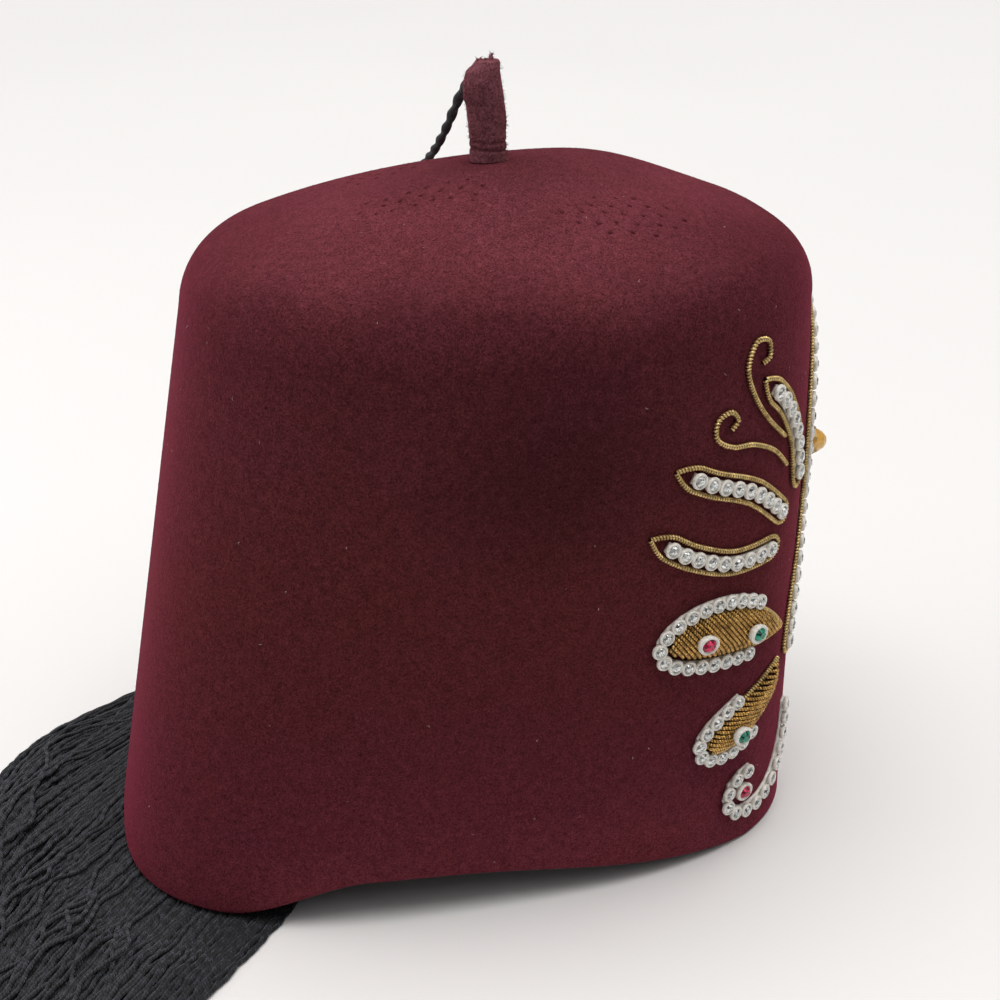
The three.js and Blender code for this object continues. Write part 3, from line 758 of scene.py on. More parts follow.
class NodeSheet:
    """Adds shader nodes to one tree and links them."""

    def __init__(self, tree: bpy.types.NodeTree) -> None:
        """Starts on a node tree.

        Args:
            tree: The tree.
        """
        self.tree = tree
        self._placed = 0

    def place(self) -> Socket:
        """Socket of the place on the object, in metres."""
        return self.add("ShaderNodeTexCoord").outputs["Object"]

    def shade(self) -> Socket:
        """Socket of the value that each face carries."""
        return self.add("ShaderNodeAttribute", attribute_name="shade").outputs["Fac"]

    def group(self, tree: bpy.types.NodeTree, **values: float) -> bpy.types.Node:
        """Adds a node group.

        Args:
            tree: The group's tree.
            **values: Values of its inputs.

        Returns:
            The node.
        """
        node = self.add("ShaderNodeGroup", node_tree=tree)
        for key, value in values.items():
            node.inputs[key].default_value = value
        return node

    def vector_math(self, operation: str, *values: Socket | Colour) -> Socket:
        """Adds a vector math node.

        Args:
            operation: Name of the operation.
            *values: Its vectors or their sockets.

        Returns:
            The resulting vector's socket.
        """
        return self.add("ShaderNodeVectorMath", dict(enumerate(values)), operation=operation).outputs[0]

    def add(self, kind: str, inputs: dict | None = None, **settings) -> bpy.types.Node:
        """Adds one node.

        Args:
            kind: Type name of the node.
            inputs: Values or sockets for its inputs, by name or index.
            **settings: Properties of the node.

        Returns:
            The node.
        """
        node = self.tree.nodes.new(kind)
        node.location = (220 * (self._placed % 8), -260 * (self._placed // 8))
        self._placed += 1
        for key, value in settings.items():
            setattr(node, key, value)
        for key, value in (inputs or {}).items():
            if isinstance(value, bpy.types.NodeSocket):
                self.tree.links.new(value, node.inputs[key])
            else:
                node.inputs[key].default_value = value
        return node

    def math(self, operation: str, a: Value, b: Value = 0.0, c: Value = 0.5) -> Socket:
        """Adds a math node.

        Args:
            operation: Name of the operation.
            a: First value or socket.
            b: Second value or socket.
            c: Third value or socket, where the operation has one.

        Returns:
            The result's socket.
        """
        return self.add("ShaderNodeMath", {0: a, 1: b, 2: c}, operation=operation).outputs[0]

    def times(self, a: Value, b: Value) -> Socket:
        """Socket of a product of two values."""
        return self.math("MULTIPLY", a, b)

    def tint(self, colour: Socket | Colour, *tones: Socket | Colour) -> Socket:
        """Multiplies a colour by tones.

        Args:
            colour: The colour or its socket.
            *tones: The tones or their sockets.

        Returns:
            The resulting colour's socket.
        """
        for tone in tones:
            colour = self.blend(1.0, colour, tone, "MULTIPLY")
        return colour

    def noise(self, vector: Socket, scale: float, detail: float = 2.0, roughness: float = 0.5) -> Socket:
        """Adds a noise texture.

        Args:
            vector: Socket of the coordinates.
            scale: Features for each metre.
            detail: Number of octaves.
            roughness: Weight of the fine octaves.

        Returns:
            The value's socket.
        """
        inputs = {"Vector": vector, "Scale": scale, "Detail": detail, "Roughness": roughness}
        return self.add("ShaderNodeTexNoise", inputs).outputs["Fac"]

    def ramp(self, value: Socket, *stops: tuple[float, Colour | float]) -> Socket:
        """Adds a colour ramp.

        Args:
            value: Socket of the value.
            *stops: Pairs of position and colour, or grey level.

        Returns:
            The colour's socket.
        """
        node = self.add("ShaderNodeValToRGB", {"Fac": value})
        elements = node.color_ramp.elements
        while len(elements) < len(stops):
            elements.new(0.5)
        for element, (position, colour) in zip(elements, stops):
            element.position = position
            element.color = (*(colour if isinstance(colour, tuple) else (colour,) * 3), 1.0)
        return node.outputs["Color"]

    def blend(self, factor: Value, a: Socket | Colour, b: Socket | Colour, mode: str = "MIX") -> Socket:
        """Adds a colour mix.

        Args:
            factor: Factor value or socket.
            a: First colour or socket.
            b: Second colour or socket.
            mode: Blend mode.

        Returns:
            The colour's socket.
        """
        colours = [(*value, 1.0) if isinstance(value, tuple) else value for value in (a, b)]
        inputs = {0: factor, 6: colours[0], 7: colours[1]}
        return self.add("ShaderNodeMix", inputs, data_type="RGBA", blend_type=mode).outputs[2]

    def bump(self, height: Socket, strength: float, distance: float) -> Socket:
        """Adds a bump node.

        Args:
            height: Socket of the height.
            strength: Strength of the effect.
            distance: Real height in metres of a full step.

        Returns:
            The normal's socket.
        """
        inputs = {"Height": height, "Strength": strength, "Distance": distance}
        return self.add("ShaderNodeBump", inputs).outputs["Normal"]

    def surface(self, colour: Socket, **inputs: Value) -> None:
        """Adds a principled shader and links it to the material's output.

        Args:
            colour: Socket of its base colour.
            **inputs: Its other inputs, with low lines for the spaces in their names.
        """
        named = {key.replace("_", " "): value for key, value in inputs.items()}
        shader = self.add("ShaderNodeBsdfPrincipled", {"Base Color": colour, **named})
        self.add("ShaderNodeOutputMaterial", {"Surface": shader.outputs[0]})


class Groups:
    """Shader node groups that several materials share."""

    def __init__(self) -> None:
        """Makes the groups."""
        self.fibre = self._fibre()
        self.twist = self._twist()
        self.tarnish = self._tarnish()
        self.painted_shading = self._painted_shading()

    @staticmethod
    def _start(name: str, inputs: dict[str, float], outputs: Sequence[str]) -> NodeSheet:
        """Starts a group.

        Args:
            name: Name of the group.
            inputs: Its inputs, with their usual values.
            outputs: Its outputs; those named Colour or Tone are colours.

        Returns:
            The sheet of the group's tree.
        """
        tree = bpy.data.node_groups.new(name, "ShaderNodeTree")
        for label, value in inputs.items():
            socket = tree.interface.new_socket(label, in_out="INPUT", socket_type="NodeSocketFloat")
            socket.default_value = value
        for label in outputs:
            kind = "NodeSocketColor" if label in ("Colour", "Tone") else "NodeSocketFloat"
            tree.interface.new_socket(label, in_out="OUTPUT", socket_type=kind)
        return NodeSheet(tree)

    def _fibre(self) -> bpy.types.NodeTree:
        """Grain of pressed wool: fine fibres, soft clumps and broad unevenness.

        Returns:
            The group.
        """
        sheet = self._start("Pressed fibre", {"Scale": 1.0}, ("Fine", "Clump", "Broad"))
        source = sheet.add("NodeGroupInput")
        scaled = sheet.add("ShaderNodeVectorMath", {0: sheet.place()}, operation="SCALE")
        sheet.tree.links.new(source.outputs["Scale"], scaled.inputs["Scale"])
        vector = scaled.outputs[0]
        curl = sheet.add("ShaderNodeTexNoise", {"Vector": vector, "Scale": 700.0, "Detail": 1.0})
        bent = sheet.vector_math("MULTIPLY_ADD", curl.outputs["Color"], (0.0016, 0.0016, 0.0016), vector)
        fine = sheet.noise(bent, 1900.0, 3.0, 0.65)
        clump = sheet.noise(vector, 420.0, 2.0, 0.6)
        broad = sheet.noise(vector, 42.0, 3.0, 0.55)
        sheet.add("NodeGroupOutput", {"Fine": fine, "Clump": clump, "Broad": broad})
        return sheet.tree

    def _twist(self) -> bpy.types.NodeTree:
        """Height of twisted yarn, from the UV that runs round and along a strand.

        Returns:
            The group.
        """
        sheet = self._start("Twisted yarn", {"Pitch": 1.6, "Plies": 2.0}, ("Height", "Hair", "Crimp"))
        source = sheet.add("NodeGroupInput")
        uv = sheet.add("ShaderNodeUVMap", uv_map="Along").outputs["UV"]
        split = sheet.add("ShaderNodeSeparateXYZ", {0: uv})
        along = sheet.math("DIVIDE", split.outputs["Y"], source.outputs["Pitch"])
        around = sheet.times(split.outputs["X"], source.outputs["Plies"])
        phase = sheet.times(sheet.math("ADD", along, around), TAU)
        height = sheet.math("ABSOLUTE", sheet.math("SINE", sheet.times(phase, 0.5)))
        hair = sheet.noise(sheet.place(), 3200.0, 2.0, 0.6)
        bend = sheet.math("ADD", sheet.times(split.outputs["Y"], TAU / 4.3), sheet.times(sheet.shade(), 40.0))
        sheet.add("NodeGroupOutput", {"Height": height, "Hair": hair, "Crimp": sheet.math("SINE", bend)})
        return sheet.tree

    def _tarnish(self) -> bpy.types.NodeTree:
        """Colour and roughness of old gilt wire, darker in patches.

        Returns:
            The group.
        """
        sheet = self._start("Old gilt", {"Age": 0.5}, ("Colour", "Roughness"))
        source = sheet.add("NodeGroupInput")
        place = sheet.place()
        patches = sheet.noise(place, 260.0, 3.0, 0.6)
        specks = sheet.noise(place, 1500.0, 2.0, 0.5)
        worn = sheet.times(sheet.times(sheet.times(patches, specks), source.outputs["Age"]), 4.0)
        bright, dull, dark = (0.62, 0.46, 0.19), (0.36, 0.25, 0.09), (0.14, 0.09, 0.035)
        colour = sheet.ramp(worn, (0.1, bright), (0.5, dull), (0.9, dark))
        roughness = sheet.math("MULTIPLY_ADD", worn, 0.25, 0.3)
        sheet.add("NodeGroupOutput", {"Colour": colour, "Roughness": roughness})
        return sheet.tree

    def _painted_shading(self) -> bpy.types.NodeTree:
        """Painted light and shade on the felt: lighter low on the wall, a bright band on top, a dark
        near-side patch.

        Returns:
            The group.
        """
        sheet = self._start("Faded felt", {}, ("Tone",))
        place = sheet.place()
        height = sheet.add("ShaderNodeSeparateXYZ", {0: place}).outputs["Z"]
        uneven = sheet.times(sheet.noise(place, 17.0, 2.0, 0.5), 0.03)
        level = sheet.times(sheet.math("ADD", height, uneven), 1 / 0.23)
        # Painted light by height: lighter and bluer low on the wall where the floor's light falls, a bright
        # band on the top.
        tone = sheet.ramp(
            level,
            (0.11, (0.79, 0.78, 1.0)), (0.20, (0.65, 0.63, 0.84)), (0.29, (0.59, 0.59, 0.73)),
            (0.39, (0.57, 0.59, 0.64)), (0.50, (0.57, 0.61, 0.62)), (0.70, (0.56, 0.62, 0.72)),
            (0.82, (0.50, 0.54, 0.65)), (0.89, (0.90, 1.05, 1.26)), (0.93, (0.64, 0.80, 0.93)),
        )
        # Painted shade: a dark patch in the middle of the near side's wall.
        offset = sheet.vector_math("ADD", place, (0.074, 0.014, -0.134))
        scaled = sheet.vector_math("MULTIPLY", offset, (10.0, 21.0, 21.0))
        away = sheet.add("ShaderNodeVectorMath", {0: scaled}, operation="LENGTH").outputs["Value"]
        away = sheet.math("ADD", away, sheet.times(sheet.noise(place, 24.0, 2.0, 0.5), 0.4))
        painted_shade_patch = sheet.ramp(away, (0.40, (0.32, 0.34, 0.33)), (1.20, 0.5))
        gain = sheet.vector_math("MULTIPLY", sheet.tint(tone, painted_shade_patch), (4.0, 4.0, 4.0))
        sheet.add("NodeGroupOutput", {"Tone": gain})
        return sheet.tree


@dataclass(frozen=True)
class Wool:
    """Pressed wool with a soft nap: colours between and on the fibres, strength of the pale bloom."""

    dark: Colour
    light: Colour
    bloom: float
    has_painted_shading: bool

    def dress(self, sheet: NodeSheet, groups: Groups) -> None:
        """Adds the material's nodes.

        Args:
            sheet: Node sheet of the material.
            groups: The shared groups.
        """
        grain = sheet.group(groups.fibre)
        fine = sheet.ramp(grain.outputs["Fine"], (0.34, self.dark), (0.66, self.light))
        clump = sheet.ramp(grain.outputs["Clump"], (0.25, 0.80), (0.75, 1.18))
        broad = sheet.ramp(grain.outputs["Broad"], (0.3, (1.0, 1.0, 0.94)), (0.7, (1.0, 1.0, 1.06)))
        colour = sheet.tint(fine, clump, broad)
        # Adds the painted light and shade of the felt.
        if self.has_painted_shading:
            colour = sheet.tint(colour, sheet.group(groups.painted_shading).outputs["Tone"])
        height = sheet.math("ADD", grain.outputs["Fine"], sheet.times(grain.outputs["Clump"], 0.8))
        normal = sheet.bump(height, 0.55, 0.00035)
        sheet.surface(colour, Roughness=0.95, Specular_IOR_Level=0.03, Normal=normal, Sheen_Weight=self.bloom,
                      Sheen_Roughness=0.4, Sheen_Tint=(1.0, 0.12, 0.26, 1.0))


@dataclass(frozen=True)
class Fibre:
    """Loose fibres: their colours from the darkest to the palest."""

    stops: tuple[tuple[float, Colour], ...]
    specular: float = 0.5

    def dress(self, sheet: NodeSheet, _groups: Groups) -> None:
        """Adds the material's nodes.

        Args:
            sheet: Node sheet of the material.
            _groups: The shared groups, which it doesn't use.
        """
        sheet.surface(sheet.ramp(sheet.shade(), *self.stops), Roughness=0.8, Specular_IOR_Level=self.specular)


@dataclass(frozen=True)
class Yarn:
    """Twisted yarn: colours in its grooves, darkened as painted shade, and on its plies, turn in millimetres,
    groove depth in metres.
    """

    low: Colour
    high: Colour
    pitch: float
    plies: float
    depth: float
    crimp: float = 0.0
    has_painted_rim_shadow: bool = False

    def dress(self, sheet: NodeSheet, groups: Groups) -> None:
        """Adds the material's nodes.

        Args:
            sheet: Node sheet of the material.
            groups: The shared groups.
        """
        twist = sheet.group(groups.twist, Pitch=self.pitch, Plies=self.plies)
        # Painted shade: the grooves between the plies get the dark colour.
        colour = sheet.ramp(twist.outputs["Height"], (0.1, self.low), (0.85, self.high))
        tone = sheet.ramp(sheet.shade(), (0.0, 0.55), (1.0, 1.5))
        hair = sheet.ramp(twist.outputs["Hair"], (0.3, 0.75), (0.7, 1.3))
        colour = sheet.tint(colour, tone, hair)
        # Painted shadow of the hat on the fringe beside the rim.
        if self.has_painted_rim_shadow:
            colour = sheet.tint(colour, self._painted_rim_shadow(sheet))
        height = sheet.math("ADD", twist.outputs["Height"], sheet.times(twist.outputs["Hair"], 0.3))
        if self.crimp:
            height = sheet.math("ADD", height, sheet.times(twist.outputs["Crimp"], self.crimp))
        normal = sheet.bump(height, 0.9, self.depth)
        sheet.surface(colour, Roughness=0.72, Specular_IOR_Level=0.3, Normal=normal, Sheen_Weight=0.18,
                      Sheen_Roughness=0.5, Sheen_Tint=(0.8, 0.85, 1.0, 1.0))

    @staticmethod
    def _painted_rim_shadow(sheet: NodeSheet) -> Socket:
        """Painted shadow on the fringe: dark beside the rim on the near side, where the hat shades it.

        Args:
            sheet: Node sheet of the material.

        Returns:
            The tone's socket.
        """
        split = sheet.add("ShaderNodeSeparateXYZ", {0: sheet.place()})
        behind = sheet.times(sheet.math("SUBTRACT", split.outputs["Y"], 0.066), 24.0)
        beyond = sheet.times(sheet.math("ADD", split.outputs["X"], 0.05), 12.5)
        return sheet.ramp(sheet.math("MAXIMUM", behind, beyond), (0.0, 0.30), (0.55, 0.70), (1.0, 1.04))


@dataclass(frozen=True)
class Gilt:
    """Old gilt metal: tarnish from 0 to 1, ridge depth in metres, and the tint of a coil with painted shade
    in its grooves.
    """

    age: float
    depth: float
    tint: Colour | None = None

    def dress(self, sheet: NodeSheet, groups: Groups) -> None:
        """Adds the material's nodes.

        Args:
            sheet: Node sheet of the material.
            groups: The shared groups.
        """
        gilt = sheet.group(groups.tarnish, Age=self.age)
        twist = sheet.group(groups.twist, Pitch=1.0 if self.tint else 0.3, Plies=-1.0)
        colour = gilt.outputs["Colour"]
        if self.tint:
            # Painted shade: the grooves between a coil's turns are darkened.
            groove = sheet.ramp(twist.outputs["Height"], (0.10, (0.05, 0.04, 0.025)), (0.60, 1.0))
            # Random tone for each face; its bright faces stand in for glints, so it is partly painted glints.
            tone = sheet.ramp(sheet.shade(), (0.0, (0.6, 0.55, 0.5)), (1.0, (1.35, 1.3, 1.2)))
            colour = sheet.tint(colour, groove, tone, self.tint)
        sheet.surface(colour, Roughness=gilt.outputs["Roughness"], Metallic=0.8,
                      Normal=sheet.bump(twist.outputs["Height"], 0.6, self.depth))


@dataclass(frozen=True)
class Foiled:
    """Faceted stone with a foil behind it: its colours from dark to lit facets as painted reflections, and
    its gloss.
    """

    stops: tuple[tuple[float, Colour], ...]
    roughness: float
    metallic: float
    coat: float
    coat_ior: float

    def dress(self, sheet: NodeSheet, _groups: Groups) -> None:
        """Adds the material's nodes.

        Args:
            sheet: Node sheet of the material.
            _groups: The shared groups, which it doesn't use.
        """
        # Each facet's random shade picks a colour from dark to lit: painted reflections and glints.
        colour = sheet.ramp(sheet.shade(), *self.stops)
        sheet.surface(colour, Roughness=self.roughness, Metallic=self.metallic,
                      Coat_Weight=self.coat, Coat_Roughness=0.02, Coat_IOR=self.coat_ior)


@dataclass(frozen=True)
class Clouded:
    """Smooth material with soft clouds of colour: clouds in a metre, colours and the shader's gloss."""

    scale: float
    stops: tuple[tuple[float, Colour], ...]
    gloss: dict[str, float]

    def dress(self, sheet: NodeSheet, _groups: Groups) -> None:
        """Adds the material's nodes.

        Args:
            sheet: Node sheet of the material.
            _groups: The shared groups, which it doesn't use.
        """
        cloud = sheet.noise(sheet.place(), self.scale, 3.0, 0.6)
        sheet.surface(sheet.ramp(cloud, *self.stops), **self.gloss)


@dataclass(frozen=True)
class PaleFloor:
    """Plain pale floor that falls off on the near side."""

    def dress(self, sheet: NodeSheet, _groups: Groups) -> None:
        """Adds the material's nodes.

        Args:
            sheet: Node sheet of the material.
            _groups: The shared groups, which it doesn't use.
        """
        place = sheet.place()
        cloud = sheet.noise(place, 1.3, 2.0, 0.5)
        tone = sheet.ramp(cloud, (0.3, (0.762, 0.75, 0.745)), (0.7, (0.782, 0.77, 0.762)))
        side = sheet.add("ShaderNodeSeparateXYZ", {0: place}).outputs["X"]
        fall = sheet.ramp(sheet.times(side, -1.0), (0.2, 1.0), (0.8, 0.5))
        sheet.surface(sheet.tint(tone, fall), Roughness=0.75, Specular_IOR_Level=0.2)


FINISHES = {
    Finish.FELT: Wool((0.036, 0.0062, 0.0066), (0.106, 0.0218, 0.0232), 0.24, True),
    Finish.NAP: Fibre(((0.0, (0.024, 0.0052, 0.0058)), (0.6, (0.092, 0.0200, 0.0220)),
                       (1.0, (0.16, 0.045, 0.048))), 0.05),
    Finish.LINT: Fibre(((0.0, (0.30, 0.16, 0.15)), (1.0, (0.6, 0.5, 0.46)))),
    Finish.STEM: Wool((0.096, 0.0300, 0.0385), (0.270, 0.098, 0.117), 0.2, False),
    Finish.CORD: Yarn((0.0035, 0.005, 0.004), (0.011, 0.015, 0.012), 1.3, 3.0, 0.00025),
    Finish.FRINGE: Yarn((0.0024, 0.0024, 0.0027), (0.0156, 0.0159, 0.0173), 1.15, 2.0, 0.0002, 1.6, True),
    Finish.THREAD: Yarn((0.10, 0.02, 0.03), (0.30, 0.09, 0.10), 0.6, 2.0, 0.0001),
    Finish.BULLION: Gilt(0.55, 0.00012, (1.80, 1.62, 1.45)),
    Finish.COIL: Gilt(0.45, 0.00018, (1.6, 1.7, 2.05)),
    Finish.GILT: Gilt(0.42, 0.00002),
    Finish.CUP: Clouded(900.0, ((0.3, (0.62, 0.58, 0.51)), (0.62, (0.86, 0.835, 0.78))),
                        {"Roughness": 0.34, "Specular_IOR_Level": 0.5, "Coat_Weight": 0.35,
                         "Coat_Roughness": 0.15}),
    Finish.CRYSTAL: Foiled(((0.0, (0.10, 0.105, 0.10)), (0.45, (0.42, 0.43, 0.41)),
                            (1.0, (0.96, 0.97, 0.96))), 0.12, 0.6, 1.0, 1.55),
    Finish.RUBY: Foiled(((0.25, (0.022, 0.001, 0.005)), (0.8, (0.70, 0.008, 0.085))), 0.1, 0.4, 0.55, 1.5),
    Finish.EMERALD: Foiled(((0.25, (0.001, 0.012, 0.011)), (0.8, (0.010, 0.33, 0.20))), 0.1, 0.4, 0.55, 1.5),
    Finish.AMBER: Clouded(160.0, ((0.3, (0.62, 0.26, 0.025)), (0.7, (1.0, 0.58, 0.11))),
                          {"Roughness": 0.08, "Transmission_Weight": 0.2, "IOR": 1.54, "Coat_Weight": 0.6,
                           "Coat_Roughness": 0.03}),
    Finish.FLOOR: PaleFloor(),
}


class Materials:
    """Builds every material once."""

    def __init__(self) -> None:
        """Builds the materials."""
        groups = Groups()
        self._made = {}
        for finish in Finish:
            material = bpy.data.materials.new(finish.value)
            material.use_nodes = True
            material.node_tree.nodes.clear()
            FINISHES[finish].dress(NodeSheet(material.node_tree), groups)
            self._made[finish] = material

    def __getitem__(self, finish: Finish) -> bpy.types.Material:
        """The material of a finish."""
        return self._made[finish]


# Felt crown and stem


@dataclass(frozen=True)
class CrownMaker:
    """Makes the felt crown with its vents, and the loose fibres on it."""

    shape: CrownShape
    materials: Materials

    AROUND = 256
    OUTER_ROWS = (60, 15, 30)
    INNER_ROWS = (16, 8, 12)
    VENT_RADIUS = 0.68
    VENT_PITCH = 5.3
    VENT_ROW_PITCH = 4.7
    VENT_PATCHES = ((35.0, -41.0, 11.0, 18.0), (18.0, 9.0, 9.0, 18.0))
    VENT_JITTER = 0.45
    NAP_FIBRES = 24000
    LINT_FIBRES = 150

    def _rows(self, counts: tuple[int, int, int], inset: float) -> Array:
        """Rings of points up the wall, over the shoulder and across the dome.

        Args:
            counts: Number of rings on the wall, the shoulder and the dome.
            inset: Depth below the felt's outer surface.

        Returns:
            The rings, from the rim to the top.
        """
        angles = turns(self.AROUND)
        shape = self.shape
        lift = shape.rim_lift(angles) + shape.felt / 2
        heights = [mix(lift, shape.shoulder_base, t) for t in np.linspace(0, 1, counts[0])]
        wall = [shape.outline(angles, z, inset) for z in heights]
        shoulder = [shape.shoulder(angles, t, inset) for t in np.linspace(0, 1, counts[1])[1:]]
        dome = [shape.dome(angles, t, inset) for t in np.linspace(1, 0, counts[2])[1:-1]]
        return np.array(wall + shoulder + dome)

    def _rim_rows(self) -> Array:
        """Rings of points round the cut edge of the felt, from its inside to its outside.

        Returns:
            The rings.
        """
        angles = turns(self.AROUND)
        shape = self.shape
        half = shape.felt / 2
        rows = []
        for turn in np.linspace(math.pi, 0, 10)[1:-1]:
            z = shape.rim_lift(angles) + half * (1 - math.sin(turn))
            rows.append(shape.outline(angles, z, half * (1 - math.cos(turn))))
        return np.array(rows)

    def vent_places(self) -> Array:
        """Centres of the vent holes in plan, in staggered rows inside oval patches.

        Returns:
            Pairs of x and y.
        """
        rng = np.random.default_rng(5)
        places = []
        for x, y, half_x, half_y in self.VENT_PATCHES:
            rows = int(half_x // self.VENT_ROW_PITCH)
            columns = int(half_y // self.VENT_PITCH) + 1
            for row in range(-rows, rows + 1):
                for column in range(-columns, columns + 1):
                    dx = row * self.VENT_ROW_PITCH
                    dy = (column + 0.5 * (row % 2)) * self.VENT_PITCH
                    if (dx / half_x) ** 2 + (dy / half_y) ** 2 <= 1.0:
                        jitter = rng.normal(0, self.VENT_JITTER, 4)
                        places.append((-x + dx + jitter[0], y + dy + jitter[1]))
                        places.append((x - dx + jitter[2], y + dy + jitter[3]))
        return np.array(places)

    def _vent_pins(self) -> bpy.types.Object:
        """Makes the pins that cut the vent holes.

        Returns:
            The object.
        """
        draft = MeshDraft()
        rng = np.random.default_rng(6)
        for x, y in self.vent_places():
            top = float(self.shape.top_at(x, y))
            path = np.array([[x, y, top - 9.0], [x, y, top + 5.0]])
            sweep(draft, path, self.VENT_RADIUS * rng.uniform(0.8, 1.15), 9, (1.0, 0.0, 0.0))
        return draft.build("vent_pins", [])

    def make(self) -> bpy.types.Object:
        """Makes the crown as one closed felt shell, pierced by its vents.

        Returns:
            The object.
        """
        inner = self._rows(self.INNER_ROWS, self.shape.felt)[::-1]
        rows = np.concatenate([inner, self._rim_rows(), self._rows(self.OUTER_ROWS, 0.0)])
        ends = np.array([self.shape.dome(0.0, 0.0, self.shape.felt), self.shape.dome(0.0, 0.0)])
        points = np.concatenate([rows.reshape(-1, 3), ends])
        fans = end_fans(len(rows), self.AROUND)
        quads = ring_faces(len(rows), self.AROUND)
        draft = MeshDraft()
        draft.add(points, [quads[:, ::-1], fans[:, ::-1]])
        crown = draft.build("crown_felt", [self.materials[Finish.FELT]])
        pins = self._vent_pins()
        cut = crown.modifiers.new("Vents", "BOOLEAN")
        cut.operation = "DIFFERENCE"
        cut.solver = "EXACT"
        cut.object = pins
        apply_modifiers(crown)
        bpy.data.objects.remove(pins, do_unlink=True)
        for polygon in crown.data.polygons:
            polygon.use_smooth = True
        return crown

    def _samples(self, rng: np.random.Generator, count: int) -> tuple[Array, Array]:
        """Random places spread evenly over the outer surface.

        Args:
            rng: Random source.
            count: Number of places.

        Returns:
            The points and the outward directions.
        """
        rows = self._rows(self.OUTER_ROWS, 0.0)[1:]
        a = rows[:-1]
        b = np.roll(rows[:-1], -1, axis=1)
        c = rows[1:]
        across = b - a
        up = c - a
        normal = np.cross(across, up)
        area = np.linalg.norm(normal, axis=-1).ravel()
        pick = rng.choice(len(area), count, p=area / area.sum())
        s, t = rng.random((2, count, 1))
        points = a.reshape(-1, 3)[pick] + across.reshape(-1, 3)[pick] * s + up.reshape(-1, 3)[pick] * t
        outward = unit(normal.reshape(-1, 3)[pick])
        centre = np.array([0.0, -5.0, 90.0])
        flip = np.sign(np.sum(outward * (points - centre), axis=1, keepdims=True))
        return points, outward * flip

    def _ribbons(self, name: str, finish: Finish, rng: np.random.Generator, count: int,
                 length: tuple[float, float], width: float, lift: float) -> bpy.types.Object:
        """Makes loose fibres as thin ribbons that lie on the felt.

        Args:
            name: Name of the object.
            finish: Material.
            rng: Random source.
            count: Number of fibres.
            length: Shortest and longest fibre.
            width: Width of a fibre.
            lift: Height of a fibre's middle above the felt.

        Returns:
            The object.
        """
        base, outward = self._samples(rng, count)
        ahead = unit(np.cross(outward, rng.normal(size=(count, 3))))
        across = np.cross(outward, ahead)
        long = rng.uniform(*length, (count, 1))
        bend = rng.normal(0, 0.25, (count, 1)) * long
        rises = (-0.05, lift, lift * rng.uniform(0.2, 2.2, (count, 1)))
        middle = [base + ahead * long * t + across * bend * t * (1 - t) * 4 + outward * rise
                  for t, rise in zip((0.0, 0.5, 1.0), rises)]
        half = across * width / 2
        points = np.stack([middle[0] - half, middle[0] + half, middle[1] - half, middle[1] + half,
                           middle[2] - half * 0.5, middle[2] + half * 0.5], axis=1).reshape(-1, 3)
        start = np.arange(count)[:, None] * 6
        quads = np.concatenate([start + [0, 2, 3, 1], start + [2, 4, 5, 3]])
        shade = np.tile(rng.random(count), 2)
        draft = MeshDraft()
        draft.add(points, [quads], shade=shade)
        return draft.build(name, [self.materials[finish]])

    def make_nap(self) -> bpy.types.Object:
        """Makes the soft nap of the felt.

        Returns:
            The object.
        """
        rng = np.random.default_rng(11)
        return self._ribbons("felt_nap", Finish.NAP, rng, self.NAP_FIBRES, (0.6, 1.7), 0.09, 0.1)

    def make_lint(self) -> bpy.types.Object:
        """Makes the few pale fibres that cling to the felt.

        Returns:
            The object.
        """
        rng = np.random.default_rng(12)
        return self._ribbons("felt_lint", Finish.LINT, rng, self.LINT_FIBRES, (0.3, 1.3), 0.12, 0.14)


def apply_modifiers(obj: bpy.types.Object) -> None:
    """Replaces an object's mesh with what its modifiers make of it.

    Args:
        obj: The object.
    """
    depsgraph = bpy.context.evaluated_depsgraph_get()
    result = bpy.data.meshes.new_from_object(obj.evaluated_get(depsgraph))
    result.name = obj.data.name
    obj.modifiers.clear()
    obj.data = result


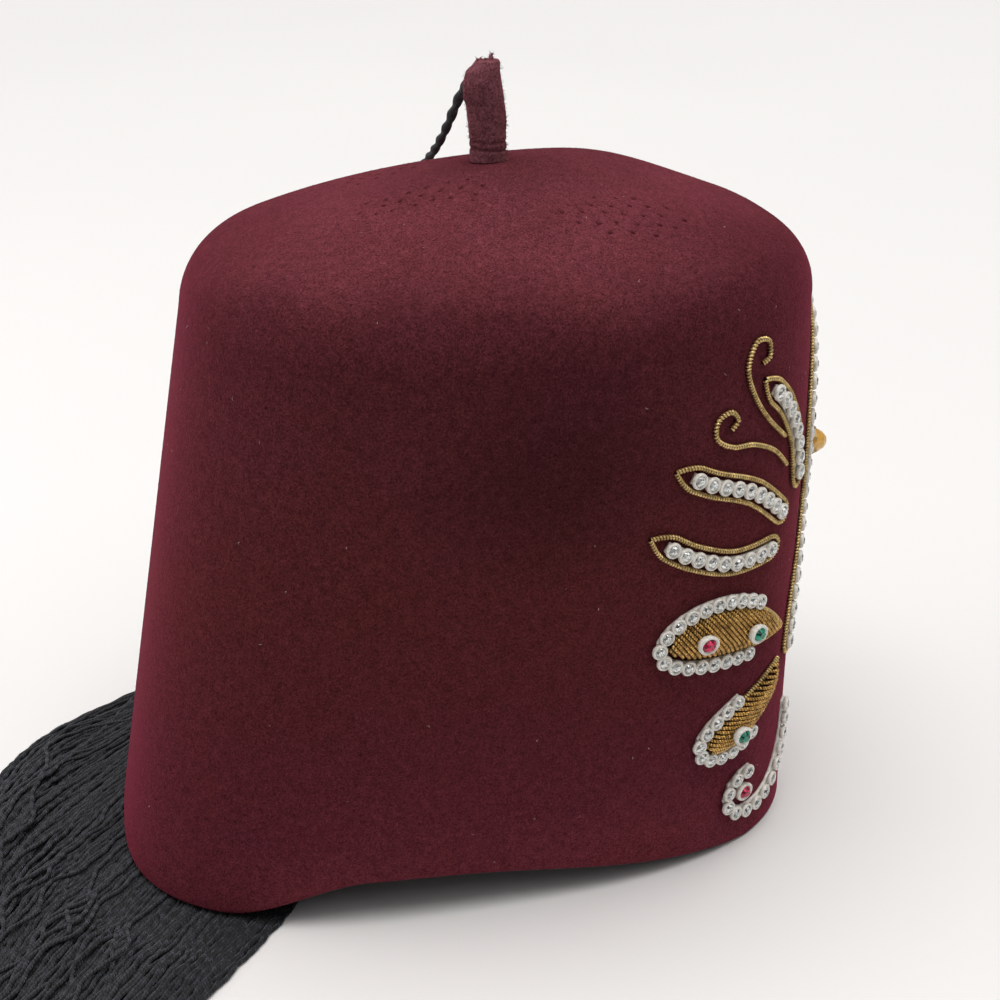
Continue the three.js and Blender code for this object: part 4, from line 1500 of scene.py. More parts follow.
@dataclass(frozen=True)
class StemMaker:
    """Makes the rolled felt tab on the top, with its frayed end."""

    shape: CrownShape
    materials: Materials

    Y = -12.5
    HALF_THICKNESS = 4.2
    SECTIONS = ((-0.5, -0.3, 5.4), (1.5, -0.3, 5.2), (6.0, -0.2, 5.2), (11.0, 0.0, 5.25), (14.6, 0.2, 5.15),
                (16.5, 0.7, 5.4), (20.5, 1.1, 5.3), (23.4, 0.7, 4.7), (25.2, -0.35, 3.75), (26.2, -0.6, 3.3))
    TOP = 25.8
    SIDES = 56
    ROWS = 90
    SEAM = math.radians(150)
    FUZZ_FIBRES = 900

    def _section(self, height: float, turn: Array) -> Array:
        """Points round the rolled felt, with its lapped edge and its creases.

        Args:
            height: Height above the stem's foot.
            turn: Angles round the stem.

        Returns:
            The points.
        """
        heights, shifts, widths = np.array(self.SECTIONS).T
        shift = np.interp(height, heights, shifts)
        width = np.interp(height, heights, widths)
        away = (turn - self.SEAM + math.pi) % TAU - math.pi
        lap = 0.42 * np.where(away > 0, np.exp(-away / 0.9), 0.0) - 0.18 * bell(away, 0.10)
        crease = sum(depth * bell(height - (place + 0.7 * math.sin(1.0 + k)) - 0.5 * np.sin(turn + k), 0.42)
                     for k, (place, depth) in enumerate(((2.1, -0.42), (4.4, -0.30), (7.2, -0.12))))
        soft = 0.12 * np.sin(2 * turn + height * 0.35) + 0.08 * np.sin(3 * turn - height * 0.6)
        grow = 1 + (lap + crease + soft) / 5
        return np.stack([self.HALF_THICKNESS * np.cos(turn) * grow * width / 5.5,
                         self.Y + shift + width * np.sin(turn) * grow,
                         np.full_like(turn, height)], axis=-1)

    def make(self) -> bpy.types.Object:
        """Makes the stem.

        Returns:
            The object.
        """
        base = float(self.shape.dome(0.0, 0.0)[2]) + 0.3
        turn = turns(self.SIDES)
        rows = [self._section(z, turn) for z in np.linspace(self.SECTIONS[0][0], self.TOP, self.ROWS)]
        last = rows[-1]
        centre = last.mean(axis=0)
        for scale, rise in ((0.92, 0.32), (0.78, 0.42), (0.6, 0.28), (0.4, 0.38), (0.2, 0.26)):
            ring = centre + (last - centre) * scale
            ring[:, 2] += rise + 0.12 * np.sin(turn + scale * 9)
            rows.append(ring)
        points = np.array(rows).reshape(-1, 3)
        points[:, 2] += base
        ends = np.array([[0.0, self.Y, base + self.SECTIONS[0][0]], centre + [0.0, 0.0, base + 0.3]])
        draft = MeshDraft()
        faces = [ring_faces(len(rows), self.SIDES), end_fans(len(rows), self.SIDES)]
        draft.add(np.concatenate([points, ends]), faces)
        self._fuzz(draft, base)
        return draft.build("stem_roll", [self.materials[Finish.STEM], self.materials[Finish.NAP]])

    def _fuzz(self, draft: MeshDraft, base: float) -> None:
        """Adds short loose fibres all over the stem.

        Args:
            draft: The draft.
            base: Height of the stem's foot.
        """
        rng = np.random.default_rng(21)
        for _ in range(self.FUZZ_FIBRES):
            turn = rng.uniform(0, TAU)
            height = rng.uniform(0.5, self.TOP)
            start = self._section(height, np.array([turn]))[0]
            out = np.array([math.cos(turn), math.sin(turn), rng.normal(0, 0.6)])
            drift = rng.normal(0, 0.5, 3)
            path = np.array([start - out * 0.2, start + out * 0.25 + drift * 0.25,
                             start + out * 0.3 + drift * 0.7])
            path[:, 2] += base
            sweep(draft, path, np.array([0.05, 0.045, 0.02]), 3, (0.1, 0.2, 1.0), 1, rng.random())

    def make_frayed_thread(self) -> bpy.types.Object:
        """Makes the short ends of red thread on the top.

        Returns:
            The object.
        """
        base = float(self.shape.dome(0.0, 0.0)[2]) + 0.3
        rng = np.random.default_rng(22)
        draft = MeshDraft()
        for y, lean, long in ((-14.0, -0.1, 2.1), (-14.3, 0.2, 1.7), (-13.8, 0.1, 1.4), (-11.6, 0.4, 0.8),
                              (-10.6, 0.3, 0.9), (-14.2, -0.3, 1.2), (-12.8, 0.2, 0.6)):
            t = np.linspace(0, 1, 8)
            path = np.stack([0.4 * rng.normal() + wander(rng, 8, 2, 0.15),
                             y + lean * t + wander(rng, 8, 2, 0.12),
                             base + self.TOP + long * t], axis=1)
            sweep(draft, path, mix(0.42, 0.3, t), 7, (1.0, 0.0, 0.0), 0, rng.random())
            for _ in range(9):
                tip = path[-1] + rng.normal(0, [0.55, 0.55, 0.35])
                mid = (path[-2] + tip) / 2 + rng.normal(0, 0.12, 3)
                hair, radius = np.array([path[-2], mid, tip]), np.array([0.08, 0.06, 0.03])
                sweep(draft, hair, radius, 3, (1.0, 0.0, 0.0), 0, rng.random())
        return draft.build("stem_thread_ends", [self.materials[Finish.THREAD]])


# Cord and tassel


@dataclass(frozen=True)
class TasselMaker:
    """Makes the free cord, the bound knot at its end and the fringe."""

    shape: CrownShape
    materials: Materials

    CORD_RADIUS = 1.4
    CORD_SIDES = 20
    CORD_ROUTE = (
        (4.7, -8.8, 217.4), (9, -8.1, 215.2), (17, -7.2, 209.2), (29, -6.5, 200.9), (42, -5.9, 193.2),
        (54, -5.5, 187.4), (64, -5.0, 182.7), (69.2, -4.8, 179.4), (74.0, -4.5, 175.2), (77.6, -4.2, 169.2),
        (79.0, -4.0, 161), (79.3, -3.4, 140), (79.4, -3.0, 110), (79.4, -3.0, 80), (79.6, -3.4, 50),
        (80.2, -4.4, 28), (81.6, -7.2, 14), (85.2, -12, 5.2), (92, -18, 2.2), (103, -25, 1.9),
        (116, -29.5, 1.9), (129, -31, 1.9), (139.5, -27.5, 2.2), (145, -19.5, 3.6), (143.5, -12, 5.6),
        (137.4, -7.2, 7.0), (129.75, -3.81, 7.3),
    )
    CORD_TWIST = 19.0
    HEAD_START = (105.0, 5.8, 7.3)
    HEAD_END = (129.2, -3.6, 7.3)
    HEAD_PROFILE = ((0, 5.6), (0.06, 6.6), (0.3, 6.9), (0.42, 5.4), (0.56, 5.4), (0.68, 6.6), (0.88, 5.6),
                    (1, 2.4))
    HEAD_ROWS = 170
    HEAD_SIDES = 36
    BINDING_PITCH = 1.25
    BINDING_DEPTH = 0.35
    GUIDES = (
        ((102.9, 2.1), (70, 9), (20, 19), (-29, 37), (-59, 61), (-89, 86), (-113, 106)),
        ((103.9, 4.7), (73, 22), (30, 46), (-15, 76), (-52, 103), (-84, 124), (-107, 140)),
        ((104.9, 7.3), (82, 35), (56, 67), (24, 97), (-12, 123), (-46, 143), (-76, 156)),
        ((105.9, 9.9), (101, 50), (87, 84), (68, 109), (48, 135), (18, 152), (-22, 164)),
    )
    HEAD_THICKNESS = 11.5
    FREE_THICKNESS = 5.4
    TUCKED_THICKNESS = 2.2
    TIP_THICKNESS = 2.0
    HEAD_BLEND = 0.08
    RIM_NEAR = 14.0
    RIM_FAR = 30.0
    STRAND_RADIUS = 0.64
    STRANDS = 380
    CURLED = 12
    CURL_LENGTH = 27.0
    STEPS = 90
    BED_COLUMNS = 160
    BED_ROWS = 90

    def cord_path(self) -> Array:
        """Centreline of the cord.

        Returns:
            Points at equal distances.
        """
        route = spline(self.CORD_ROUTE, 24, centripetal=True)
        return spaced(route, 620)

    def make_cord(self) -> bpy.types.Object:
        """Makes the cord of two slack twisted plies.

        Returns:
            The object.
        """
        path = self.cord_path()
        walked = arc_length(path)
        spin = turns(self.CORD_SIDES)[None, :] - walked[:, None] / self.CORD_TWIST * TAU
        lobe = 0.5 + 0.5 * np.cos(2 * spin)
        radius = self.CORD_RADIUS * (0.60 + 0.40 * lobe**0.8)
        rng = np.random.default_rng(31)
        radius = radius * (1 + 0.04 * wander(rng, len(path), 60, 2.0)[:, None].clip(-1, 1))
        draft = MeshDraft()
        sweep(draft, path, radius, self.CORD_SIDES, transported(path))
        return draft.build("cord_twist", [self.materials[Finish.CORD]])

    def make_head(self) -> bpy.types.Object:
        """Makes the bound knot, wound with cord.

        Returns:
            The object.
        """
        start, end = np.array(self.HEAD_START), np.array(self.HEAD_END)
        along = np.linspace(0, 1, self.HEAD_ROWS)
        profile = np.array(self.HEAD_PROFILE)
        radius = np.interp(along, profile[:, 0], profile[:, 1])
        kernel = np.ones(9) / 9
        radius = np.convolve(np.pad(radius, 4, mode="edge"), kernel, mode="valid")
        turn = turns(self.HEAD_SIDES)
        length = np.linalg.norm(end - start)
        wound = np.abs(np.sin(math.pi * along[:, None] * length / self.BINDING_PITCH + turn[None, :] / 2))
        ribs = np.abs(np.sin(turn[None, :] * 9 + along[:, None] * 5))
        is_neck = bell(along - 0.49, 0.10)[:, None]
        depth = self.BINDING_DEPTH
        surface = radius[:, None] - depth + depth * mix(ribs, wound, np.maximum(is_neck, 0.25))
        draft = MeshDraft()
        sweep(draft, start + (end - start) * along[:, None], surface, self.HEAD_SIDES, (0.0, 0.0, 1.0))
        return draft.build("tassel_knot", [self.materials[Finish.CORD]])

    def _guides(self) -> Array:
        """Curves on the table that the fringe follows.

        Returns:
            The same number of points on each curve.
        """
        curves = [spaced(spline([(x, y, 0.0) for x, y in guide], 30, centripetal=True), 200)[:, :2]
                  for guide in self.GUIDES]
        return np.array(curves)

    def _between(self, guides: Array, u: Array, v: Array) -> Array:
        """Places on the table between the guides.

        Args:
            guides: Guide curves across the fringe.
            u: Place across the fringe, from 0 to 1.
            v: Place along it, from 0 to 1.

        Returns:
            Pairs of x and y.
        """
        column = u * (len(self.GUIDES) - 1)
        k = np.minimum(column.astype(int), len(self.GUIDES) - 2)
        row = v * (guides.shape[1] - 1)
        i = np.minimum(row.astype(int), guides.shape[1] - 2)
        s, t = (column - k)[..., None], (row - i)[..., None]
        low = mix(guides[k, i], guides[k, i + 1], t)
        high = mix(guides[k + 1, i], guides[k + 1, i + 1], t)
        return mix(low, high, s)

    def _distance_from_rim(self, x: Array, y: Array) -> Array:
        """Distance in plan from the middle of the felt's cut edge.

        Args:
            x: Places in x.
            y: Places in y.

        Returns:
            The distances.
        """
        away = y - self.shape.rim_centre_y
        angle = np.arctan2(x, away)
        edge = self.shape.outline_radius(0.0, 0.0, angle) - self.shape.felt / 2
        return np.abs(np.hypot(x, away) - edge)

    def _thickness(self, u: Array, v: Array, place: Array) -> Array:
        """Height of the heap of strands, which is thin under the rim and at its edges.

        Args:
            u: Place across the fringe, from 0 to 1.
            v: Place along it, from 0 to 1.
            place: Places on the table.

        Returns:
            The heights.
        """
        free = mix(self.FREE_THICKNESS, self.TIP_THICKNESS, smoothstep(0.75, 1.0, v))
        beside = smoothstep(self.RIM_NEAR, self.RIM_FAR, self._distance_from_rim(place[:, 0], place[:, 1]))
        spread = mix(self.TUCKED_THICKNESS, free, beside)
        edge = np.minimum(1.0, 0.45 + 5 * np.minimum(u, 1 - u))
        return mix(self.HEAD_THICKNESS, spread * edge, smoothstep(0.0, self.HEAD_BLEND, v))

    def _strand(self, guides: Array, rng: np.random.Generator, u0: float, layer: float,
                curl: float = 0.0) -> tuple[Array, Array, Array]:
        """Centreline of one strand.

        Args:
            guides: Guide curves across the fringe.
            rng: Random source.
            u0: Place across the fringe, from 0 to 1.
            layer: Height in the heap, from 0 at the bottom to 1.
            curl: Size in millimetres of the slack curls of a strand that lies across the others.

        Returns:
            The points, the radius and the flattening at each point.
        """
        reach = 1.0 - abs(rng.normal(0, 0.02)) - 0.03 * (0.5 + 0.5 * math.cos(u0 * 12 * TAU))
        v = np.linspace(0.0, min(reach, 1.0), self.STEPS)
        loose = smoothstep(0.05, 0.5, v)
        is_stray = rng.random() < 0.15
        u = u0 + loose * wander(rng, self.STEPS, 5, 0.060 if is_stray else 0.012)
        bunch = 17 * TAU * u0 + 1.0 + 1.8 * np.sin(7 * v + 15 * u0)
        lock = (0.012 * np.sin(bunch) + 0.010 * np.sin(11 * v + 8 * u0)) * loose
        u = np.clip(u + lock, 0.004, 0.996)
        place = self._between(guides, u, v)
        thick = self._thickness(u, v, place)
        crimp = rng.uniform(0, TAU)
        walked = arc_length(place)
        period = rng.uniform(8.0, 14.0)
        wave = 0.36 * np.sin(walked / period * TAU + crimp) * loose
        slack = smoothstep(0.45, 0.75, v)
        uneven = 0.6 + 0.4 * np.sin(walked / 61.0 * TAU)
        wave = wave + curl * slack * np.sin(walked / self.CURL_LENGTH * TAU + crimp) * uneven
        across = unit(np.gradient(place, axis=0))[:, ::-1] * [-1, 1]
        place = place + across * wave[:, None]
        radius = self.STRAND_RADIUS * rng.uniform(0.88, 1.08) * mix(0.62, 1.0, smoothstep(0, 0.2, v))
        room = np.clip(thick / (2 * radius), 0.5, 1.0)
        heap = np.clip(layer + wander(rng, self.STEPS, 5, 0.10), 0, 1)
        z = radius * room + 0.06 + np.maximum(thick - 2 * radius * room, 0) * heap
        z = z + 0.12 * np.cos(walked / period * TAU + crimp) * loose * (thick > 2.6)
        z = z + min(curl, 0.9) * slack
        radius = radius * mix(1.0, 0.8, smoothstep(0.985, 1.0, v / v[-1]))
        return np.column_stack([place, np.maximum(z, radius * room)]), radius, room

    def make_fringe(self) -> list[bpy.types.Object]:
        """Makes the fringe's strands, in an under and an upper layer.

        Returns:
            The two objects.
        """
        guides = self._guides()
        rng = np.random.default_rng(41)
        pieces = []
        for name, count, layers in (("fringe_under", self.STRANDS // 2, (0.0, 0.5)),
                                    ("fringe_upper", self.STRANDS // 2, (0.45, 1.0))):
            draft = MeshDraft()
            for k in range(count):
                u0 = (k + rng.uniform(0.1, 0.9)) / count
                path, radius, room = self._strand(guides, rng, 0.01 + 0.98 * u0, rng.uniform(*layers))
                sweep(draft, path, radius, 5, (0.0, 0.0, 1.0), shade=rng.random(), flatten=room)
            if layers[1] == 1.0:
                for _ in range(self.CURLED):
                    u0, curl = rng.uniform(0.3, 0.96), rng.uniform(1.5, 4.0)
                    path, radius, room = self._strand(guides, rng, u0, 1.0, curl)
                    sweep(draft, path, radius, 5, (0.0, 0.0, 1.0), shade=rng.uniform(0.5, 1.0), flatten=room)
            pieces.append(draft.build(name, [self.materials[Finish.FRINGE]]))
        pieces.append(self._bed(guides))
        return pieces

    def _bed(self, guides: Array) -> bpy.types.Object:
        """Makes the dense heap of strands at the bottom of the fringe as one ridged sheet, toned dark as
        painted shade between the strands above.

        Args:
            guides: Guide curves across the fringe.

        Returns:
            The object.
        """
        columns, rows = self.BED_COLUMNS, self.BED_ROWS
        u = np.linspace(0.012, 0.988, columns)
        v = np.linspace(0.03, 0.955, rows)
        grid = self._between(guides, u[None, :], v[:, None])
        ridge = 0.25 * np.abs(np.sin(np.arange(columns) * 1.9))[None, :]
        edge = np.minimum(1.0, 12 * np.minimum(u, 1 - u))[None, :] * np.minimum(1.0, 12 * (1 - v))[:, None]
        top = np.concatenate([grid, (0.15 + (0.75 + ridge) * edge)[..., None]], axis=2)
        bottom = np.concatenate([grid, np.full((rows, columns, 1), 0.08)], axis=2)
        loop = np.concatenate([top, bottom[:, ::-1]], axis=1)
        faces = ring_faces(rows, 2 * columns)
        k = np.arange(columns - 1)
        caps = [np.stack([k, k + 1, 2 * columns - 2 - k, 2 * columns - 1 - k], -1) + start
                for start in (0, (rows - 1) * 2 * columns)]
        caps[0] = caps[0][:, ::-1]
        draft = MeshDraft()
        # Shade 0.1 and no UV darken the sheet: painted shade in the gaps between the strands.
        draft.add(loop.reshape(-1, 3), [faces, np.concatenate(caps)], shade=0.1)
        return draft.build("fringe_bed", [self.materials[Finish.FRINGE]])


# Front ornament


@dataclass(frozen=True)
class Drop:
    """Drop-shaped pad: its tip and round end on the felt, half width and bend."""

    name: str
    tip: tuple[float, float]
    end: tuple[float, float]
    half_width: float
    bend: float
    border: int = 0
    border_from: float = 0.0

    MIDDLE = 0.6
    TAPER = 0.8
    TIP_MARGIN = 0.12

    def place(self, turn: Array, margin: float = 0.0, scale: Array | float = 1.0) -> Array:
        """Places on the drop's outline, grown by a margin. Turn 0 is the tip and half a turn the round end.

        Args:
            turn: Place round the outline, from 0 to 1.
            margin: Distance outwards.
            scale: Size of the outline about its middle.

        Returns:
            Pairs of distance and height on the wall.
        """
        angle = np.asarray(turn, float) * TAU
        start, axis = np.array(self.tip, float), np.array(self.end, float) - np.array(self.tip, float)
        length = np.linalg.norm(axis)
        axis = axis / length
        across = np.array([-axis[1], axis[0]])
        along = length / 2 * (1 - np.cos(angle)) - margin * np.cos(angle)
        taper = np.abs(np.sin(angle / 2)) ** self.TAPER
        width = ((self.half_width + margin) * taper + margin * self.TIP_MARGIN) * np.sin(angle)
        x = mix(length * self.MIDDLE, along, scale)
        curve = self.bend * (x / length) * (1 - x / length) * 4
        return start + axis * x[..., None] + across * (width * scale + curve)[..., None]


@dataclass(frozen=True)
class Collar:
    """Gilt collar with claws: pairs of radius and height round the metal and along one claw.

    The collar has some sides, and the claws some number, a first turn, a width at each end and some steps.
    """

    profile: tuple[tuple[float, float], ...]
    sides: int
    claw: tuple[tuple[float, float], ...]
    claws: int
    turned: float
    widths: tuple[float, float]
    steps: int


@dataclass
class OrnamentMaker:
    """Makes the stitched ornament: rows of stones, bullion pads, coil outlines and the amber boss."""

    front: FrontMap
    materials: Materials
    coils: MeshDraft = field(default_factory=MeshDraft)
    rng: np.random.Generator = field(default_factory=lambda: np.random.default_rng(51))

    PITCH = 4.7
    STONE_SIDES = 16
    TAPE = 1.5
    TAPE_TOP = 0.75
    TAPE_END = 1.6
    CUP_PROFILE = ((1.25, 0.75), (1.7, 0.85), (2.15, 1.1), (2.31, 1.5), (2.3, 1.9), (2.16, 2.2), (1.94, 2.33),
                   (1.7, 2.26), (1.56, 2.05))
    CRYSTAL_GIRDLE = (1.52, 2.05)
    CRYSTAL_STAR = (1.18, 2.5)
    CRYSTAL_TABLE = (0.86, 2.74)
    STONE_ROWS = {
        "branch_stones": (23, ((45, 60), (42, 74), (36, 87), (31.5, 101), (34.5, 118), (34, 136), (26, 150),
                               (14, 158))),
        "leaf_stones_low": (9, ((65, 99), (80, 100), (93, 105), (100.5, 109.5))),
        "leaf_stones_middle": (9, ((61, 109), (74, 119), (88, 125), (94, 128))),
        "leaf_stones_top": (8, ((51, 117), (54, 129), (61, 140), (66.5, 145.3))),
        "tendril_stones": (14, ((41.5, 36), (42.5, 26), (49, 16.5), (58, 11.8), (66, 11.5), (71.6, 14.2),
                                (73, 19.5), (69.6, 24.6), (65, 25.4))),
    }
    MEDALLION = (116.0, 16)
    PADS = (
        Drop("large_pad", (54, 70), (99, 80), 8.5, 3, 18, 0.21),
        Drop("small_pad", (54, 58), (83, 41), 6.8, -2, 11, 0.27),
    )
    BUD = Drop("bud_pad", (0, 159), (0, 134), 7, 0)
    PAD_HEIGHT = 3.6
    PAD_FALL = 0.7
    PAD_ROUNDNESS = 3.1
    PAD_SIDES = 48
    PAD_SCALES = (0.5, 1.0, 1.0, 0.98, 0.93, 0.84, 0.72, 0.56, 0.36, 0.18)
    WIRE_RADIUS = 0.58
    WIRE_SLOPE = 1.25
    WIRE_SPACING = 1.12
    WIRE_STEP = 0.22
    WIRE_SIDES = 6
    PAD_BORDER_OFFSET = 2.8
    PAD_STONES = (
        ("ruby_outer", "large_pad", 0.8, Finish.RUBY),
        ("emerald_inner", "large_pad", 0.42, Finish.EMERALD),
        ("emerald_lower", "small_pad", 0.72, Finish.EMERALD),
    )
    TENDRIL_STONE = ("ruby_tendril", (66, 18.6), Finish.RUBY)
    SIDE_AMBER = (22.0, 114.0)
    AMBER_SIDES = 10
    AMBER_LEVELS = ((3.9, 0.3, 0), (4.4, 1.7, 0.5), (4.3, 2.6, 0), (3.7, 5.0, 0.5), (2.6, 7.0, 0),
                    (1.3, 8.0, 0.5))
    AMBER_COLLAR = Collar(
        ((4.35, 0.05), (5.4, 0.05), (5.45, 0.8), (4.95, 1.5), (4.75, 2.5), (4.45, 2.6), (4.35, 1.5)), 40,
        ((4.8, 1.4), (4.55, 3.4), (3.9, 4.8)), 6, 0.5, (0.42, 0.26), 12)
    SCROLLS = (
        ((59, 122), (66, 128.5), (75, 133), (83, 134.5), (88.5, 138), (88.5, 143), (84.4, 144.6),
         (81.8, 141.8), (84, 139.6)),
        ((61, 131), (70, 139), (76, 147), (79, 155), (76.5, 161.5), (71.5, 161), (70.6, 156.6),
         (73.6, 155.2)),
    )
    CUP_SIZE = (3.3, 2.8)
    CUP_SIDES = 24
    OVAL_PROFILE = ((0.5, -0.3), (0.8, -0.3), (0.92, 0.3), (1.0, 1.0), (1.0, 1.5), (0.95, 1.85), (0.86, 2.0),
                    (0.76, 1.92), (0.69, 1.65))
    OVAL_TABLE = 2.75
    BOSS_RADIUS = 7.0
    BOSS_HEIGHT = 10.5
    BOSS_COLLAR = Collar(
        ((7.15, 0.05), (9.0, 0.05), (9.05, 0.6), (8.5, 1.1), (8.2, 2.2), (8.35, 3.4), (8.1, 3.9),
         (7.5, 4.1), (7.15, 3.8)), 96,
        ((8.45, 1.0), (8.3, 3.6), (7.6, 4.9), (6.6, 5.7)), 12, 0.0, (0.55, 0.32), 16)
    COIL_RADIUS = 0.74
    COIL_HEIGHT = 0.7
    COIL_RIDGE = 0.92
    COIL_OFFSET = 3.3
    COIL_SIDES = 6
    RIDGE_STEPS = 5

    # Rows of stones

    def _painted_facet_reflections(self, count: int) -> Array:
        """Random shades of facets, most of them very dark or very bright: painted reflections and glints in
        the stones.
        """
        return np.clip(self.rng.beta(1.1, 0.9, count), 0.02, 1.0)

    def _stone_row(self, name: str, places: Array, closed: bool) -> bpy.types.Object:
        """Makes one row of rhinestones: a tape, a cup for each stone and the faceted stones, all joined.

        Args:
            name: Name of the object.
            places: Centre of each stone on the front.
            closed: Whether the row is a ring.

        Returns:
            The object.
        """
        centres, normals = self.front.frame(places)
        count = len(centres)
        if closed:
            tangents = unit(np.roll(centres, -1, axis=0) - np.roll(centres, 1, axis=0))
        else:
            tangents = unit(np.gradient(centres, axis=0))
        sides = unit(np.cross(normals, tangents))
        if closed:
            before = np.roll(np.arange(count), 1)
            joints = (centres[before] + centres) / 2
            joint_sides = unit(sides[before] + sides)
            joint_normals = unit(normals[before] + normals)
            joints, joint_sides, joint_normals = (np.concatenate([values, values[:1]])
                                                  for values in (joints, joint_sides, joint_normals))
        else:
            joints = np.concatenate([
                (centres[0] - tangents[0] * self.TAPE_END)[None], (centres[1:] + centres[:-1]) / 2,
                (centres[-1] + tangents[-1] * self.TAPE_END)[None]])
            joint_sides = unit(np.concatenate([sides[:1], sides[1:] + sides[:-1], sides[-1:]]))
            joint_normals = unit(np.concatenate([normals[:1], normals[1:] + normals[:-1], normals[-1:]]))
        draft = MeshDraft()
        half = np.array([(1, 0), (1, .6), (1, 1), (.45, 1), (0, 1), (-.45, 1), (-1, 1), (-1, .6)])
        edge = np.concatenate([half, -half])
        part = (edge[:, :1] + 1) / 2
        for k in range(count):
            middle = mix(joints[k], joints[k + 1], part)
            side = mix(joint_sides[k], joint_sides[k + 1], part)
            normal = mix(joint_normals[k], joint_normals[k + 1], part)
            rim = middle + side * edge[:, 1:] * self.TAPE
            ends = (k == 0 and not closed, k == count - 1 and not closed)
            self._stone(draft, centres[k], normals[k], tangents[k], sides[k], rim, normal, ends)
        white, crystal = self.materials[Finish.CUP], self.materials[Finish.CRYSTAL]
        return draft.build(name, [white, crystal], weld=0.001)

    def _stone(self, draft: MeshDraft, centre: Array, normal: Array, tangent: Array, side: Array, rim: Array,
               rim_normal: Array, ends: tuple[bool, bool]) -> None:
        """Adds one stone with its cup and its piece of tape.

        Args:
            draft: The draft.
            centre: Centre on the felt.
            normal: Outward direction.
            tangent: Direction along the row.
            side: Direction across the row.
            rim: The 16 points round the piece of tape, on the felt.
            rim_normal: Outward directions there.
            ends: Whether the tape ends before and after this stone.
        """
        sides = self.STONE_SIDES

        def ring(radius: float, height: float, angles: Array = turns(self.STONE_SIDES)) -> Array:
            """Ring of points about the stone's axis.

            Args:
                radius: Its radius.
                height: Its height above the felt.
                angles: Angles of the points.

            Returns:
                The points.
            """
            return centre + circle(tangent, side, angles) * radius + normal * height

        cup = [ring(radius, height) for radius, height in self.CUP_PROFILE]
        girdle = ring(*self.CRYSTAL_GIRDLE)
        rings = [rim + rim_normal * 0.02, rim + rim_normal * self.TAPE_TOP, *cup, girdle]
        body = np.concatenate([*rings, (centre + normal * 0.02)[None]])
        quads = ring_faces(len(rings), sides)
        wall = quads[:sides]
        keep = [3, 4, 5, 2, 11, 12, 13, 10]
        if ends[0]:
            keep += [6, 7, 8, 9]
        if ends[1]:
            keep += [14, 15, 0, 1]
        floor = fan_faces(0, sides, len(body) - 1, True)
        draft.add(body, [wall[keep], quads[sides:], floor], 0)
        star = ring(*self.CRYSTAL_STAR, turns(8))
        table = ring(*self.CRYSTAL_TABLE, turns(8, 0.5))
        inner = ring(self.CRYSTAL_TABLE[0] * 0.52, self.CRYSTAL_TABLE[1], turns(8))
        top = centre + normal * self.CRYSTAL_TABLE[1]
        stone = np.concatenate([girdle, star, table, inner, top[None]])
        i = np.arange(8)
        after = (i + 1) % 8
        a_low, a_mid, a_high = 2 * i, (2 * i + 1) % 16, (2 * i - 1) % 16
        b, c, d, tip = 16 + i, 24 + i, 32 + i, np.full(8, 40)
        c_before, b_after, d_after = 24 + (i - 1) % 8, 16 + after, 32 + after
        kites = np.stack([c, b, a_mid, b_after], axis=-1)
        triangles = np.concatenate([
            np.stack(corners, -1) for corners in (
                (c_before, b, c), (b, a_low, a_mid), (b, a_high, a_low), (c_before, c, d), (c, d_after, d),
                (d, d_after, tip),
            )
        ])
        draft.add(stone, [kites, triangles], 1, self._painted_facet_reflections(len(kites) + len(triangles)), smooth=False)

    @staticmethod
    def _spaced_places(path: Sequence[Sequence[float]], count: int, mirror: int) -> Array:
        """Places at equal distances along a row.

        Args:
            path: Points of the row.
            count: Number of places.
            mirror: 1 on the wearer's right and -1 on the left.

        Returns:
            Pairs of distance and height on the wall.
        """
        return spaced(spline(path, 24), count) * [mirror, 1]

    # Coils

    def _coil(self, places: Array, closed: bool = False) -> None:
        """Adds a ridged gold coil along places on the felt.

        Args:
            places: Pairs of distance and height on the wall.
            closed: Whether the coil closes on itself.
        """
        sides = self.COIL_SIDES
        route = self.front.point(places, self.COIL_HEIGHT)
        if closed:
            route = np.concatenate([route, route[:1]])
            places = np.concatenate([places, places[:1]])
        length = arc_length(route)[-1]
        steps = max(3, round(length / self.COIL_RIDGE)) * self.RIDGE_STEPS
        path = spaced(route, steps + 1)
        normals = self.front.frame(spaced(places, steps + 1))[1]
        if closed:
            path, normals = path[:-1], normals[:-1]
        along = np.arange(len(path)) / self.RIDGE_STEPS
        phase = along[:, None] * TAU - turns(sides)[None, :]
        widths = self.COIL_RADIUS * (0.86 - 0.23 * np.cos(phase))
        # Random shade for each face: random tone whose bright end serves as painted glints.
        shade = self.rng.uniform(0.2, 0.9, (len(path) + (not closed)) * sides)
        sweep(self.coils, path, widths, sides, normals, shade=shade, closed=closed, along=along)

    def _leaf_outline(self, path: Sequence[Sequence[float]], mirror: int, tip: float = 7.5,
                      tail: float = 4.6) -> None:
        """Adds two coils that run round a row of stones and meet in a point at its end.

        Args:
            path: Points of the row.
            mirror: 1 on the wearer's right and -1 on the left.
            tip: How far the outline reaches past the row's end.
            tail: How far it reaches before the row's start.
        """
        line = spaced(spline(path, 24), 80)
        direction = unit(np.gradient(line, axis=0))
        before = line[0] - direction[0] * np.linspace(tail, 0, 14, endpoint=False)[:, None]
        after = line[-1] + direction[-1] * np.linspace(0, tip, 21)[1:, None]
        line = np.concatenate([before, line, after])
        direction = unit(np.gradient(line, axis=0))
        across = np.stack([-direction[:, 1], direction[:, 0]], axis=1)
        walked = arc_length(line)
        from_tail = np.clip(walked / tail, 0, 1)
        from_tip = np.clip((walked[-1] - walked) / tip, 0, 1)
        round_end = np.sqrt(1 - (1 - from_tail) ** 2)
        pointed_end = 1 - (1 - from_tip) ** 1.7
        half = self.COIL_OFFSET * round_end * pointed_end
        for side in (1, -1):
            self._coil((line + across * half[:, None] * side) * [mirror, 1])

    # Pads

